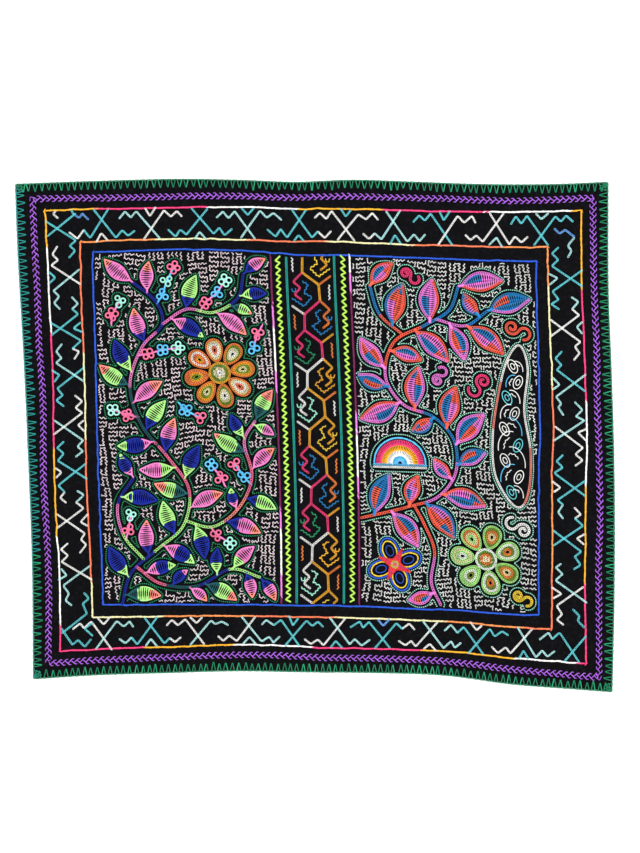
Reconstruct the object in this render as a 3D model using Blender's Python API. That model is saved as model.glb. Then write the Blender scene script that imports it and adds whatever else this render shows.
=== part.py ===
"""Embroidered cloth lying flat: a black cotton sheet with raised rows of stitching and a stitched edging.

Everything is laid out on an even rectangle first (u to the right, v up, in millimetres, zero in the
middle), and the rectangle is then drawn out of true the way the hand-made cloth lies.
"""
from collections import namedtuple

import bmesh
import bpy
import numpy as np
from mathutils import Vector
from mathutils.geometry import delaunay_2d_cdt

# The cloth as it was cut and hemmed, in millimetres.
WIDTH = 700.0
DEPTH = 600.0
THICKNESS = 1.2

# Where the four corners lie, in millimetres from the middle of the cloth.
Corner = namedtuple("Corner", "x y")
BOTTOM_LEFT = Corner(-330.4, -286.2)
BOTTOM_RIGHT = Corner(350.5, -301.5)
TOP_LEFT = Corner(-351.6, 295.6)
TOP_RIGHT = Corner(345.7, 297.9)

# How far each edge bows out (or, below zero, in) from the straight line between its corners:
# along runs from 0 to 1, left to right or bottom to top, and out is in millimetres.
Bow = namedtuple("Bow", "along out")
TOP_EDGE = [
    Bow(0.00, 0.0), Bow(0.14, 3.2), Bow(0.29, 5.2), Bow(0.38, 3.8), Bow(0.48, 1.2), Bow(0.56, 3.4),
    Bow(0.68, 0.8), Bow(0.78, -1.9), Bow(0.92, -2.2), Bow(1.00, 0.0),
]
BOTTOM_EDGE = [
    Bow(0.00, 0.0), Bow(0.11, -6.4), Bow(0.22, -10.4), Bow(0.36, -14.9), Bow(0.46, -15.3),
    Bow(0.60, -16.3), Bow(0.70, -15.5), Bow(0.84, -5.8), Bow(0.91, -3.3), Bow(1.00, 0.0),
]
LEFT_EDGE = [
    Bow(0.00, 0.0), Bow(0.23, -3.7), Bow(0.45, -3.7), Bow(0.63, -2.8), Bow(0.89, 0.0), Bow(1.00, 0.0),
]
RIGHT_EDGE = [
    Bow(0.00, 0.0), Bow(0.18, 3.2), Bow(0.44, 4.4), Bow(0.64, 1.9), Bow(0.77, -0.5), Bow(1.00, 0.0),
]

# The cloth was kept folded in four: a low ridge runs along each fold. away is the distance from the
# fold's middle and lift is how high the cloth stands off the surface there.
Fold = namedtuple("Fold", "away lift")
FOLD_PROFILE = [Fold(0.0, 2.4), Fold(6.0, 1.5), Fold(13.0, 0.0)]
UPRIGHT_FOLD_U = 4.0
LEVEL_FOLD_V = -14.0
LEVEL_FOLD_SHARE = 0.6

# How far the middle of each row of stitching that runs all round lies from the cloth's edge: for each
# side, rows of (along, inset), where along is the share of the side from its left or lower end.
Row = namedtuple("Row", "top right bottom left")
BRAID = Row(
    top=((0.05, 18.0), (0.16, 20.0), (0.25, 20.5), (0.35, 18.8), (0.50, 17.9), (0.60, 19.4), (0.75, 18.0),
         (0.84, 18.8), (0.95, 17.0)),
    right=((0.05, 15.6), (0.16, 17.4), (0.25, 18.4), (0.33, 16.4), (0.58, 17.5), (0.67, 15.4), (0.95, 17.2)),
    bottom=((0.05, 17.0), (0.25, 18.0), (0.42, 19.0), (0.50, 17.0), (0.67, 16.2), (0.84, 17.0), (0.95, 15.2)),
    left=((0.05, 17.4), (0.16, 18.4), (0.25, 18.0), (0.40, 15.8), (0.50, 18.2), (0.58, 19.6), (0.67, 17.8),
          (0.78, 19.7), (0.95, 19.0)),
)
OUTER_LINE = Row(
    top=((0.05, 32.4), (0.25, 34.0), (0.42, 32.0), (0.50, 32.2), (0.58, 35.0), (0.67, 34.4), (0.84, 32.0),
         (0.95, 31.4)),
    right=((0.05, 31.3), (0.16, 34.0), (0.25, 34.7), (0.42, 33.2), (0.50, 30.6), (0.75, 30.6), (0.95, 30.8)),
    bottom=((0.05, 30.4), (0.25, 30.7), (0.42, 31.3), (0.50, 28.6), (0.67, 28.0), (0.84, 30.5), (0.95, 30.2)),
    left=((0.05, 31.8), (0.16, 31.8), (0.33, 29.4), (0.42, 29.0), (0.58, 32.0), (0.84, 34.0), (0.95, 33.0)),
)
INNER_LINE = Row(
    top=((0.10, 72.4), (0.33, 72.0), (0.50, 72.2), (0.58, 75.6), (0.67, 76.2), (0.76, 74.4), (0.90, 74.3)),
    right=((0.10, 74.0), (0.42, 74.1), (0.50, 70.7), (0.67, 70.5), (0.90, 71.2)),
    bottom=((0.10, 69.4), (0.33, 66.5), (0.50, 66.5), (0.67, 64.1), (0.76, 66.5), (0.90, 68.9)),
    left=((0.10, 71.4), (0.24, 69.1), (0.38, 67.1), (0.58, 70.0), (0.76, 71.4), (0.90, 73.6)),
)
FIELD_LINE = Row(
    top=((0.10, 85.6), (0.33, 84.9), (0.42, 86.3), (0.58, 91.6), (0.76, 91.5), (0.90, 91.0)),
    right=((0.10, 89.6), (0.24, 90.4), (0.42, 89.8), (0.50, 87.2), (0.67, 85.2), (0.90, 84.3)),
    bottom=((0.10, 84.6), (0.33, 80.2), (0.50, 80.9), (0.67, 77.8), (0.76, 81.0), (0.90, 86.0)),
    left=((0.10, 84.8), (0.24, 82.4), (0.42, 81.6), (0.58, 83.4), (0.76, 86.2), (0.90, 88.0)),
)
# A row's table is left out this near to its corners.
CORNER_CLEAR = 15.0

# Half widths and heights of the raised rows.
BRAID_HALF = 3.8
LINE_HALF = 1.5
ROW_HEIGHT = 0.9

# The upright band in the middle of the field, by the distance of each pair of rows from its axis.
BAND_AXIS_U = -3.8
BAND_ROWS = (28.5, 47.0)

# The crossed-lines border between the outer and the inner line. along runs along the border from the
# crossing and inward from the outer line; each unit has this leg, its mirror image and the chevron.
Stop = namedtuple("Stop", "along inward")
LEG = [Stop(-9.0, 0.0), Stop(15.7, 33.1), Stop(22.6, 26.1), Stop(29.9, 32.7), Stop(36.5, 27.0)]
CHEVRON = [Stop(-8.0, 37.4), Stop(0.0, 29.6), Stop(8.0, 37.4)]
BORDER_DEPTH = 37.4
# No stop of a unit lies nearer than this to the ends of its side, where the outer line turns.
BORDER_CLEAR = 31.8

# The crossings of the units on each side, measured from the side's left or lower end.
BORDER_CROSSINGS = {
    "top": (100.0, 158.0, 216.1, 273.4, 334.4, 389.9, 447.8, 507.2, 567.8, 622.0),
    "bottom": (85.0, 141.5, 197.9, 260.2, 313.8, 366.4, 422.0, 479.6, 534.8, 592.5, 651.0),
    "left": (55.6, 124.1, 187.4, 248.3, 303.1, 365.7, 423.1, 484.8, 545.8),
    "right": (111.5, 178.0, 239.4, 302.5, 363.0, 429.0, 488.0),
}

# The stitched edging: teeth of thick thread over the rim.
TOOTH_PITCH = 7.8
TOOTH_DEPTH = 9.0
TOOTH_HALF = 0.65
TOOTH_THICKNESS = 1.0
TOOTH_OVERHANG = 0.6
CORNER_TOOTH_START = 5.5
CORNER_TOOTH_REACH = 4.4
THREAD_GAP = 0.35

# The longest straight run between two points of a bowed line, how far the rim's own points keep from
# the ends of the fold lines, and the closest that two points may lie.
STEP = 45.0
RIM_STEP = 22.0
RIM_CLEAR = 4.0
MERGE = 0.12

MILLIMETRE = 0.001
CLOTH_COLOUR = (0.0110, 0.0110, 0.0135, 1.0)
EDGING_COLOUR = (0.0137, 0.2789, 0.1384, 1.0)
COTTON_ROUGHNESS = 0.9


def through(rows, at):
    """A smooth curve through a table's points, read at the given places: cubic between neighbours."""
    knots = np.array([row.along for row in rows])
    values = np.array([row.out for row in rows])
    slopes = np.gradient(values, knots)
    cell = np.clip(np.searchsorted(knots, at) - 1, 0, len(knots) - 2)
    span = knots[cell + 1] - knots[cell]
    part = (at - knots[cell]) / span
    start = (1 + 2 * part) * (1 - part) ** 2 * values[cell] + part * (1 - part) ** 2 * span * slopes[cell]
    end = part**2 * (3 - 2 * part) * values[cell + 1] - part**2 * (1 - part) * span * slopes[cell + 1]
    return start + end


def lie(points):
    """Places on the even rectangle to places where the cloth lies: four corners blended, plus each bow."""
    points = np.asarray(points, dtype=float)
    right = points[:, 0] / WIDTH + 0.5
    up = points[:, 1] / DEPTH + 0.5
    weights = ((1 - right) * (1 - up), right * (1 - up), (1 - right) * up, right * up)
    corners = (BOTTOM_LEFT, BOTTOM_RIGHT, TOP_LEFT, TOP_RIGHT)
    x = sum(weight * corner.x for weight, corner in zip(weights, corners))
    y = sum(weight * corner.y for weight, corner in zip(weights, corners))
    along = np.clip(right, 0, 1)
    rise = np.clip(up, 0, 1)
    x = x + right * through(RIGHT_EDGE, rise) - (1 - right) * through(LEFT_EDGE, rise)
    y = y + up * through(TOP_EDGE, along) - (1 - up) * through(BOTTOM_EDGE, along)
    return np.column_stack((x, y))


def lift(points):
    """Height of the cloth's underside: the higher of the two fold ridges, each a bent line across."""
    points = np.asarray(points, dtype=float)
    away = [fold.away for fold in FOLD_PROFILE]
    height = [fold.lift for fold in FOLD_PROFILE]
    upright = np.interp(np.abs(points[:, 0] - UPRIGHT_FOLD_U), away, height)
    level = np.interp(np.abs(points[:, 1] - LEVEL_FOLD_V), away, height) * LEVEL_FOLD_SHARE
    return np.maximum(upright, level)


def divided(path, step, closed):
    """A path with points added so that no straight run is longer than step."""
    ends = path[1:] + path[:1] if closed else path[1:]
    points = []
    for start, end in zip(path, ends):
        start, end = np.array(start, dtype=float), np.array(end, dtype=float)
        count = max(1, int(np.ceil(np.linalg.norm(end - start) / step)))
        points += [start + (end - start) * part / count for part in range(count)]
    if not closed:
        points.append(np.array(path[-1], dtype=float))
    return np.array(points)


def beside(path, away, closed):
    """The line that runs at a given distance to the left of a path, mitred at its corners."""
    before = np.roll(path, 1, axis=0)
    after = np.roll(path, -1, axis=0)
    if not closed:
        before[0] = 2 * path[0] - path[1]
        after[-1] = 2 * path[-1] - path[-2]
    ahead = [(line.T / np.linalg.norm(line, axis=1)).T for line in (path - before, after - path)]
    normals = [np.column_stack((-line[:, 1], line[:, 0])) for line in ahead]
    mitre = normals[0] + normals[1]
    reach = 1 + (normals[0] * normals[1]).sum(axis=1)
    return path + away * (mitre.T / reach).T


def distance(points, path, closed):
    """The distance from each point to the nearest place on a path."""
    ends = np.roll(path, -1, axis=0) if closed else path[1:]
    starts = path if closed else path[:-1]
    nearest = np.full(len(points), np.inf)
    for start, end in zip(starts, ends):
        run = end - start
        part = np.clip(((points - start) @ run) / (run @ run), 0, 1)
        nearest = np.minimum(nearest, np.linalg.norm(points - start - part[:, None] * run, axis=1))
    return nearest


def cloth_corners():
    """The corners of the even rectangle, anticlockwise from the bottom left."""
    u, v = WIDTH / 2, DEPTH / 2
    return [(-u, -v), (u, -v), (u, v), (-u, v)]


def side_length(side):
    """The length of one side of the even rectangle."""
    return WIDTH if side in ("top", "bottom") else DEPTH


def inset(row, side, along):
    """A row's inset on one side, straight between its table's places; along is in millimetres."""
    shares, values = np.array(getattr(row, side)).T
    return np.interp(along, shares * side_length(side), values)


def on_side(side, along, away):
    """A place given along its side, from the left or lower end, and in from it."""
    if side == "top":
        return along - WIDTH / 2, DEPTH / 2 - away
    if side == "bottom":
        return along - WIDTH / 2, away - DEPTH / 2
    if side == "left":
        return away - WIDTH / 2, along - DEPTH / 2
    return WIDTH / 2 - away, along - DEPTH / 2


def around(row):
    """A row's path all round, anticlockwise from the bottom left, with a point at its table's places."""
    points = []
    for side, first, last, onward in (("bottom", "left", "right", 1), ("right", "bottom", "top", 1),
                                      ("top", "left", "right", -1), ("left", "bottom", "top", -1)):
        size = side_length(side)
        across = WIDTH if side in ("left", "right") else DEPTH
        start = inset(row, first, across if side in ("right", "top") else 0.0)
        end = size - inset(row, last, across if side in ("right", "top") else 0.0)
        places = [share * size for share, value in getattr(row, side)]
        places = [place for place in places if start + CORNER_CLEAR < place < end - CORNER_CLEAR]
        places = [start] + places if onward == 1 else [end] + places[::-1]
        points += [on_side(side, along, inset(row, side, along)) for along in places]
    return points


def border_paths():
    """The legs and chevrons of every unit; each second unit is turned over between the two lines."""
    paths = []
    for side, crossings in BORDER_CROSSINGS.items():
        for index, crossing in enumerate(crossings):
            for chart, mirror in ((LEG, 1), (LEG, -1), (CHEVRON, 1)):
                stops = []
                for stop in chart:
                    along = crossing + mirror * stop.along
                    inward = stop.inward if index % 2 == 0 else BORDER_DEPTH - stop.inward
                    if BORDER_CLEAR < along < side_length(side) - BORDER_CLEAR:
                        outer, inner = inset(OUTER_LINE, side, along), inset(INNER_LINE, side, along)
                        away = outer + (inner - outer) * inward / BORDER_DEPTH
                        stops.append(on_side(side, along, away))
                if len(stops) > 1:
                    paths.append(stops)
    return paths


def band_paths():
    """The straight rows of the upright band, from the field's bottom line to its top line."""
    rows = [BAND_AXIS_U + side * away for away in BAND_ROWS for side in (-1, 1)]
    return [
        [on_side(side, u + WIDTH / 2, inset(FIELD_LINE, side, u + WIDTH / 2)) for side in ("bottom", "top")]
        for u in rows
    ]


Ridge = namedtuple("Ridge", "path half closed")


def ridges():
    """Every raised row of stitching as a path with a half width."""
    rows = [Ridge(divided(around(BRAID), STEP, True), BRAID_HALF, True)]
    for row in (OUTER_LINE, INNER_LINE, FIELD_LINE):
        rows.append(Ridge(divided(around(row), STEP, True), LINE_HALF, True))
    rows += [Ridge(divided(path, STEP, False), LINE_HALF, False) for path in band_paths()]
    rows += [Ridge(divided(path, STEP, False), LINE_HALF, False) for path in border_paths()]
    return rows


def row_height(points, rows):
    """Height of the stitching over the cloth: each row is a tent that falls to nothing at its half width."""
    height = np.zeros(len(points))
    for row in rows:
        tent = 1 - distance(points, row.path, row.closed) / row.half
        height = np.maximum(height, ROW_HEIGHT * tent)
    return height


def fold_lines():
    """The straight lines on which the fold ridges bend, right across the cloth."""
    lines = []
    for fold in FOLD_PROFILE:
        for side in ((-1, 1) if fold.away else (1,)):
            u = UPRIGHT_FOLD_U + side * fold.away
            v = LEVEL_FOLD_V + side * fold.away
            lines.append([(u, -DEPTH / 2), (u, DEPTH / 2)])
            lines.append([(-WIDTH / 2, v), (WIDTH / 2, v)])
    return lines


def rim():
    """The cloth's outline as a ring of points, anticlockwise, with one wherever a fold line ends."""
    stops_u = {line[0][0] for line in fold_lines() if line[0][1] == -DEPTH / 2}
    stops_v = {line[0][1] for line in fold_lines() if line[0][0] == -WIDTH / 2}
    along_u, along_v = (
        sorted(stops | {at for at in np.arange(-reach, reach, RIM_STEP)
                        if min(abs(at - stop) for stop in stops) > RIM_CLEAR}) + [reach]
        for reach, stops in ((WIDTH / 2, stops_u), (DEPTH / 2, stops_v))
    )
    points = [(u, -DEPTH / 2) for u in along_u[:-1]] + [(WIDTH / 2, v) for v in along_v[:-1]]
    points += [(u, DEPTH / 2) for u in along_u[:0:-1]] + [(-WIDTH / 2, v) for v in along_v[:0:-1]]
    return points


def triangulated(outline, lines):
    """The outline filled with triangles that keep every line as an edge.

    Gives the points, the triangles, and for each outline point its place among the points.
    """
    points = [Vector(point) for point in outline]
    edges = [(index, (index + 1) % len(outline)) for index in range(len(outline))]
    for path, closed in lines:
        first = len(points)
        points += [Vector(point) for point in path]
        edges += [(index, index + 1) for index in range(first, len(points) - 1)]
        if closed:
            edges.append((len(points) - 1, first))
    filled = delaunay_2d_cdt(points, edges, [], 1, MERGE)
    flat, faces, sources = filled[0], filled[2], filled[3]
    place = {source: index for index, group in enumerate(sources) for source in group}
    return np.array([tuple(point) for point in flat]), faces, [place[index] for index in range(len(outline))]


def ridge_lines(rows):
    """The crest, the two feet and the end caps of every raised row."""
    lines = []
    for row in rows:
        feet = [beside(row.path, side * row.half, row.closed) for side in (1, -1)]
        lines.append((row.path, row.closed))
        if row.closed:
            lines += [(foot, True) for foot in feet]
            continue
        tips = []
        for end, inner in ((row.path[0], row.path[1]), (row.path[-1], row.path[-2])):
            tips.append(end + (end - inner) / np.linalg.norm(end - inner) * row.half)
        lines.append((np.vstack((tips[0], feet[0], tips[1], feet[1][::-1])), True))
    return lines


def recentred(flat):
    """The same places with the middle of the cloth's own outline at zero."""
    outline = lie(rim())
    return flat - (outline.min(axis=0) + outline.max(axis=0)) / 2


def solid(name, rings, faces, colour):
    """A mesh object from points in millimetres, with its own material."""
    mesh = bpy.data.meshes.new(name)
    mesh.from_pydata([tuple(point * MILLIMETRE) for point in rings], [], faces)
    mesh.validate()
    shape = bmesh.new()
    shape.from_mesh(mesh)
    bmesh.ops.recalc_face_normals(shape, faces=shape.faces)
    shape.to_mesh(mesh)
    shape.free()
    material = bpy.data.materials.new(name)
    material.use_nodes = True
    surface = material.node_tree.nodes["Principled BSDF"]
    surface.inputs["Base Color"].default_value = colour
    surface.inputs["Roughness"].default_value = COTTON_ROUGHNESS
    surface.inputs["Metallic"].default_value = 0.0
    mesh.materials.append(material)
    thing = bpy.data.objects.new(name, mesh)
    bpy.context.scene.collection.objects.link(thing)
    return thing


def make_cloth():
    """The sheet: a top with the raised rows, a plain underside, and the rim between them."""
    rows = ridges()
    folds = [(line, False) for line in fold_lines()]
    outline = rim()
    top, top_faces, top_rim = triangulated(outline, folds + ridge_lines(rows))
    under, under_faces, under_rim = triangulated(outline, folds)
    top_z = lift(top) + THICKNESS + row_height(top, rows)
    points = np.vstack((
        np.column_stack((recentred(lie(top)), top_z)),
        np.column_stack((recentred(lie(under)), lift(under))),
    ))
    faces = [tuple(face) for face in top_faces]
    faces += [tuple(len(top) + index for index in reversed(face)) for face in under_faces]
    for index in range(len(outline)):
        after = (index + 1) % len(outline)
        upper = (top_rim[after], top_rim[index])
        lower = (len(top) + under_rim[index], len(top) + under_rim[after])
        faces.append(upper + lower)
    return solid("cloth", points, faces, CLOTH_COLOUR)


def side_stitches(start, end, inward):
    """The zigzag along one side: a foot over the rim, then a point inside it, for each tooth."""
    start, end, inward = (np.array(value, dtype=float) for value in (start, end, inward))
    ahead = (end - start) / np.linalg.norm(end - start)
    first = start + ahead * CORNER_TOOTH_START
    length = np.linalg.norm(end - start) - 2 * CORNER_TOOTH_START
    count = round(length / TOOTH_PITCH)
    stitches = []
    for index in range(count + 1):
        stitches.append(first + ahead * length * index / count - inward * TOOTH_OVERHANG)
        if index < count:
            stitches.append(first + ahead * length * (index + 0.5) / count + inward * TOOTH_DEPTH)
    return stitches


def make_edging():
    """The edging: one thick thread that zigzags over the rim, lying on the cloth, closed on itself."""
    corners = cloth_corners()
    path = []
    for index, inward in enumerate(((0, 1), (-1, 0), (0, -1), (1, 0))):
        start, end = corners[index], corners[(index + 1) % 4]
        path += side_stitches(start, end, inward)
        path.append(np.array(end) - np.sign(end) * CORNER_TOOTH_REACH)
    path = np.array(path)
    feet = [beside(path, side * TOOTH_HALF, True) for side in (1, -1)]
    bottom = lift(path) + THICKNESS + THREAD_GAP
    count = len(path)
    points = np.vstack([
        np.column_stack((recentred(lie(foot)), bottom + height))
        for height in (0.0, TOOTH_THICKNESS) for foot in feet
    ])
    faces = []
    for index in range(count):
        after = (index + 1) % count
        for low, high in ((0, 1), (1, 3), (3, 2), (2, 0)):
            faces.append((low * count + index, low * count + after,
                          high * count + after, high * count + index))
    return solid("edging", points, faces, EDGING_COLOUR)


for old in list(bpy.data.objects):
    bpy.data.objects.remove(old)
make_cloth()
make_edging()
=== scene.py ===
"""An embroidered cloth that lies flat on a pale floor, dressed stitch by stitch in Blender 4.5.

Every stitch is placed on an even rectangle first (u to the right, v up and height over the cloth's face,
in millimetres, zero in the middle). lay() then draws the rectangle out of true, the way the hand-made
cloth lies, and turns millimetres into metres.
"""
from collections import namedtuple

import bpy
import numpy as np
from bpy.props import FloatProperty, FloatVectorProperty, PointerProperty
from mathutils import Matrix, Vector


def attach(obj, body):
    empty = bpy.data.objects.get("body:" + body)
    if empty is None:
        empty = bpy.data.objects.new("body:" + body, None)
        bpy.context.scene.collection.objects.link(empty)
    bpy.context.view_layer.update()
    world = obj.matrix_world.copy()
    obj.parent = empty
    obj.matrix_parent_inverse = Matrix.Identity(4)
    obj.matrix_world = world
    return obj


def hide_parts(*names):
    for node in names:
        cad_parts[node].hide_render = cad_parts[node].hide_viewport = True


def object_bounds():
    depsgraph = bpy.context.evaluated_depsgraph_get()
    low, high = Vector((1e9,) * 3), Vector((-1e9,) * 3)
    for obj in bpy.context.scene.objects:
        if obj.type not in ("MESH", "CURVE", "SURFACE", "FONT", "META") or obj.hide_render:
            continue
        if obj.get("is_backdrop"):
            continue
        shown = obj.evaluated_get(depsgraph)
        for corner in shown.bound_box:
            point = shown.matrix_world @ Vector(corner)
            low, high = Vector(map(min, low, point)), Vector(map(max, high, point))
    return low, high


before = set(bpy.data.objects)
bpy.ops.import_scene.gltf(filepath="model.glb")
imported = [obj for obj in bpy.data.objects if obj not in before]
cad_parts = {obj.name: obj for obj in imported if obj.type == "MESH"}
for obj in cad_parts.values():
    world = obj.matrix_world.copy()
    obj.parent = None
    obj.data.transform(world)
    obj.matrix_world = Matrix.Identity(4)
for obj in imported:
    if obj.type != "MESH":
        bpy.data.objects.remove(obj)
CAD_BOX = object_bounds()

bl_info = {
    "name": "Embroidered cloth",
    "version": (1, 0, 0),
    "blender": (4, 5, 0),
    "location": "3D View > Sidebar > Cloth",
    "description": "Lays an embroidered cloth and works its border, band, motifs and filling in thread",
    "category": "Object",
}

# How the cloth lies.

WIDTH = 700.0
DEPTH = 600.0
MILLIMETRE = 0.001

# Where the cloth's corners lie: bottom left, bottom right, top left, top right.
CORNERS = ((-330.4, -286.2), (350.5, -301.5), (-351.6, 295.6), (345.7, 297.9))

# How far each edge bows out of the straight line between its corners, as rows of (along, out).
TOP_EDGE = ((0, 0), (0.14, 3.2), (0.29, 5.2), (0.38, 3.8), (0.48, 1.2), (0.56, 3.4), (0.68, 0.8),
            (0.78, -1.9), (0.92, -2.2), (1, 0))
BOTTOM_EDGE = ((0, 0), (0.11, -6.4), (0.22, -10.4), (0.36, -14.9), (0.46, -15.3), (0.60, -16.3),
               (0.70, -15.5), (0.84, -5.8), (0.91, -3.3), (1, 0))
LEFT_EDGE = ((0, 0), (0.23, -3.7), (0.45, -3.7), (0.63, -2.8), (0.89, 0), (1, 0))
RIGHT_EDGE = ((0, 0), (0.18, 3.2), (0.44, 4.4), (0.64, 1.9), (0.77, -0.5), (1, 0))

# The two fold ridges: rows of (distance from the fold, height), and where each fold runs.
FOLD_PROFILE = ((0, 2.4), (6, 1.5), (13, 0))
UPRIGHT_FOLD_U = 4.0
LEVEL_FOLD_V = -14.0
LEVEL_FOLD_SHARE = 0.6


def through(rows, at):
    """A smooth curve through a table's points: a cubic between neighbours, with mean slopes at them."""
    knots, values = np.array(rows, dtype=float).T
    slopes = np.gradient(values, knots)
    cell = np.clip(np.searchsorted(knots, at) - 1, 0, len(knots) - 2)
    span = knots[cell + 1] - knots[cell]
    part = (at - knots[cell]) / span
    start = (1 + 2 * part) * (1 - part) ** 2 * values[cell] + part * (1 - part) ** 2 * span * slopes[cell]
    end = part**2 * (3 - 2 * part) * values[cell + 1] - part**2 * (1 - part) * span * slopes[cell + 1]
    return start + end


def lie(u, v):
    """Even rectangle to real outline: the four corners blended by area, plus each edge's bow."""
    right, up = u / WIDTH + 0.5, v / DEPTH + 0.5
    weights = ((1 - right) * (1 - up), right * (1 - up), (1 - right) * up, right * up)
    x, y = (sum(weight * corner[axis] for weight, corner in zip(weights, CORNERS)) for axis in (0, 1))
    along, rise = np.clip(right, 0, 1), np.clip(up, 0, 1)
    x = x + right * through(RIGHT_EDGE, rise) - (1 - right) * through(LEFT_EDGE, rise)
    y = y + up * through(TOP_EDGE, along) - (1 - up) * through(BOTTOM_EDGE, along)
    return x, y


def outline_middle():
    """The middle of the box round the laid outline, which the frame has at zero."""
    ends, ones = np.linspace(-1, 1, 400), np.ones(400)
    u = np.concatenate((ends, ends, -ones, ones)) * WIDTH / 2
    v = np.concatenate((-ones, ones, ends, ends)) * DEPTH / 2
    x, y = lie(u, v)
    return (x.min() + x.max()) / 2, (y.min() + y.max()) / 2


MIDDLE = outline_middle()


def lift(u, v):
    """Height of the underside: the higher of the two fold ridges, rounded, plus the pull of the stitches.

    The pull is a product of slow sine waves that stays above the floor.
    """
    away, height = np.array(FOLD_PROFILE, dtype=float).T
    upright = np.interp(np.abs(u - UPRIGHT_FOLD_U), away, height)
    level = np.interp(np.abs(v - LEVEL_FOLD_V), away, height) * LEVEL_FOLD_SHARE
    waves = np.sin(u / 9.0 + 1.7 * np.sin(v / 23.0)) * np.sin(v / 7.5 + 1.3 * np.sin(u / 31.0))
    return np.maximum(np.maximum(upright, level), 0.5 * sizes("cloth", "pucker") * (1 + waves))


def lay(points):
    """Places (u, v, height over the face) in millimetres to places in the frame in metres."""
    u, v, height = points.T
    x, y = lie(u, v)
    z = lift(u, v) + sizes("cloth", "thickness") + height
    return np.column_stack((x - MIDDLE[0], y - MIDDLE[1], z)) * MILLIMETRE


# Colours and settings.


def linear(code):
    """An sRGB hex colour as linear red, green and blue."""
    values = np.array([int(code[at:at + 2], 16) for at in (1, 3, 5)]) / 255
    return tuple(np.where(values <= 0.04045, values / 12.92, ((values + 0.055) / 1.055) ** 2.4))


def length(name, millimetres, description):
    """A length that the user may change, kept in metres as Blender keeps it."""
    return FloatProperty(name=name, description=description, default=millimetres * MILLIMETRE, min=0.0,
                         precision=5, unit="LENGTH")


def dye(name, code, description):
    """A colour that the user may change."""
    return FloatVectorProperty(name=name, description=description, default=linear(code), size=3, min=0.0,
                               max=1.0, subtype="COLOR")


class ClothSettings(bpy.types.PropertyGroup):
    """The black cotton ground."""

    thickness: length("Thickness", 1.2, "Cotton with its dense stitching")
    pucker: length("Pucker", 0.5, "How far the stitching draws the cloth up between rows")
    cell: length("Cell", 4.0, "Size of one cell of the cloth's mesh")
    hem: length("Hem", 11.0, "Width of the hem turned to the back")
    ground: dye("Ground", "#0b0b0e", "Black cotton")


class EdgingSettings(bpy.types.PropertyGroup):
    """The blanket stitch over the rim."""

    pitch: length("Pitch", 7.8, "From one tooth to the next")
    depth: length("Depth", 8.8, "From the rim to a tooth's point")
    thread: length("Thread", 1.5, "Thickness of the edging thread")
    green: dye("Green", "#147f57", "Edging along the top, right and bottom")
    # Painted highlight: a paler green that about one strand in five takes at random, standing in for thread
    # that catches the light.
    pale_green: dye("Pale green", "#23a673", "Edging where the thread catches the light")
    sea_green: dye("Sea green", "#1d8f87", "Edging along the left side")


class LineSettings(bpy.types.PropertyGroup):
    """The rows that run all round, and the crossed-lines border."""

    braid: length("Braid", 7.8, "Width of the braided row")
    braid_pitch: length("Braid pitch", 7.2, "From one pair of braid stitches to the next")
    rope: length("Rope", 2.75, "Width of the twisted rows")
    chain: length("Chain", 2.75, "Width of the border's chain stitches")


class FieldSettings(bpy.types.PropertyGroup):
    """The motifs and the filling of the field."""

    stem: length("Stem", 4.0, "Width of a stem")
    rung: length("Rung", 2.4, "From one rung of a leaf to the next")
    gap: length("Gap", 3.3, "From a motif to its dotted outline")
    dot: length("Dot", 2.6, "From one stitch of an outline to the next")
    run: length("Run", 10.4, "Length of a meander's run")
    spacing: length("Spacing", 5.4, "From one run to the next")
    strip: length("Strip", 12.5, "From one meander strip to the next")
    thread: length("Thread", 1.1, "Thickness of the filling thread")
    clear: length("Clear", 4.5, "From a motif to the filling")


class DyeSettings(bpy.types.PropertyGroup):
    """The dyes of the embroidery threads."""

    gold: dye("Gold", "#f7b42c", "Outer line and band")
    hot_pink: dye("Hot pink", "#f8407f", "Outer line and band")
    white: dye("White", "#fbfaf6", "Border, band and filling on the right")
    orange: dye("Orange", "#f58a3c", "Round flower")
    flame: dye("Flame", "#f47e55", "Inner line")
    apricot: dye("Apricot", "#f39552", "Inner line")
    cream: dye("Cream", "#f0e8b2", "Inner line")
    royal: dye("Royal blue", "#2558d0", "Line round the field")
    purple: dye("Purple", "#b166e6", "Braid")
    aqua: dye("Aqua", "#6ad6de", "Border")
    pale_aqua: dye("Pale aqua", "#bdf1f0", "Border")
    light_blue: dye("Light blue", "#78b2fa", "Border's corners")
    teal: dye("Teal", "#20b3a3", "Band")
    lime: dye("Lime", "#c6f760", "Band's zigzag")
    plum: dye("Plum", "#741a50", "Band's outer rows")
    deep_blue: dye("Deep blue", "#08249c", "Leaves and stems")
    light_green: dye("Light green", "#b4f08c", "Leaves and stems")
    dark_teal: dye("Dark teal", "#155a5f", "Leaves and stems")
    salmon: dye("Salmon", "#f98f80", "Leaves")
    leaf_pink: dye("Leaf pink", "#ee84c8", "Leaves")
    coral: dye("Coral", "#f9654b", "Large leaves and curls")
    sky: dye("Sky blue", "#1f82c4", "Large leaves and stems")
    violet: dye("Violet pink", "#ee82dc", "Large leaves and stems")
    rose: dye("Rose", "#f5729a", "Ring flowers")
    mint: dye("Mint", "#a8f0dc", "Ring flowers")
    bright_aqua: dye("Bright aqua", "#5cc4f5", "Ring flowers")
    olive: dye("Olive", "#7d9a2c", "Round flower")
    bottle: dye("Bottle green", "#209562", "Dotted outlines on the left")
    sea: dye("Sea mint", "#a4efd4", "Dotted outlines on the right")
    yellow: dye("Yellow", "#f5d33a", "Curls and band")
    red: dye("Red", "#e8303a", "Petals")
    blush: dye("Blush", "#ffeef2", "Filling on the left")


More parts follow.
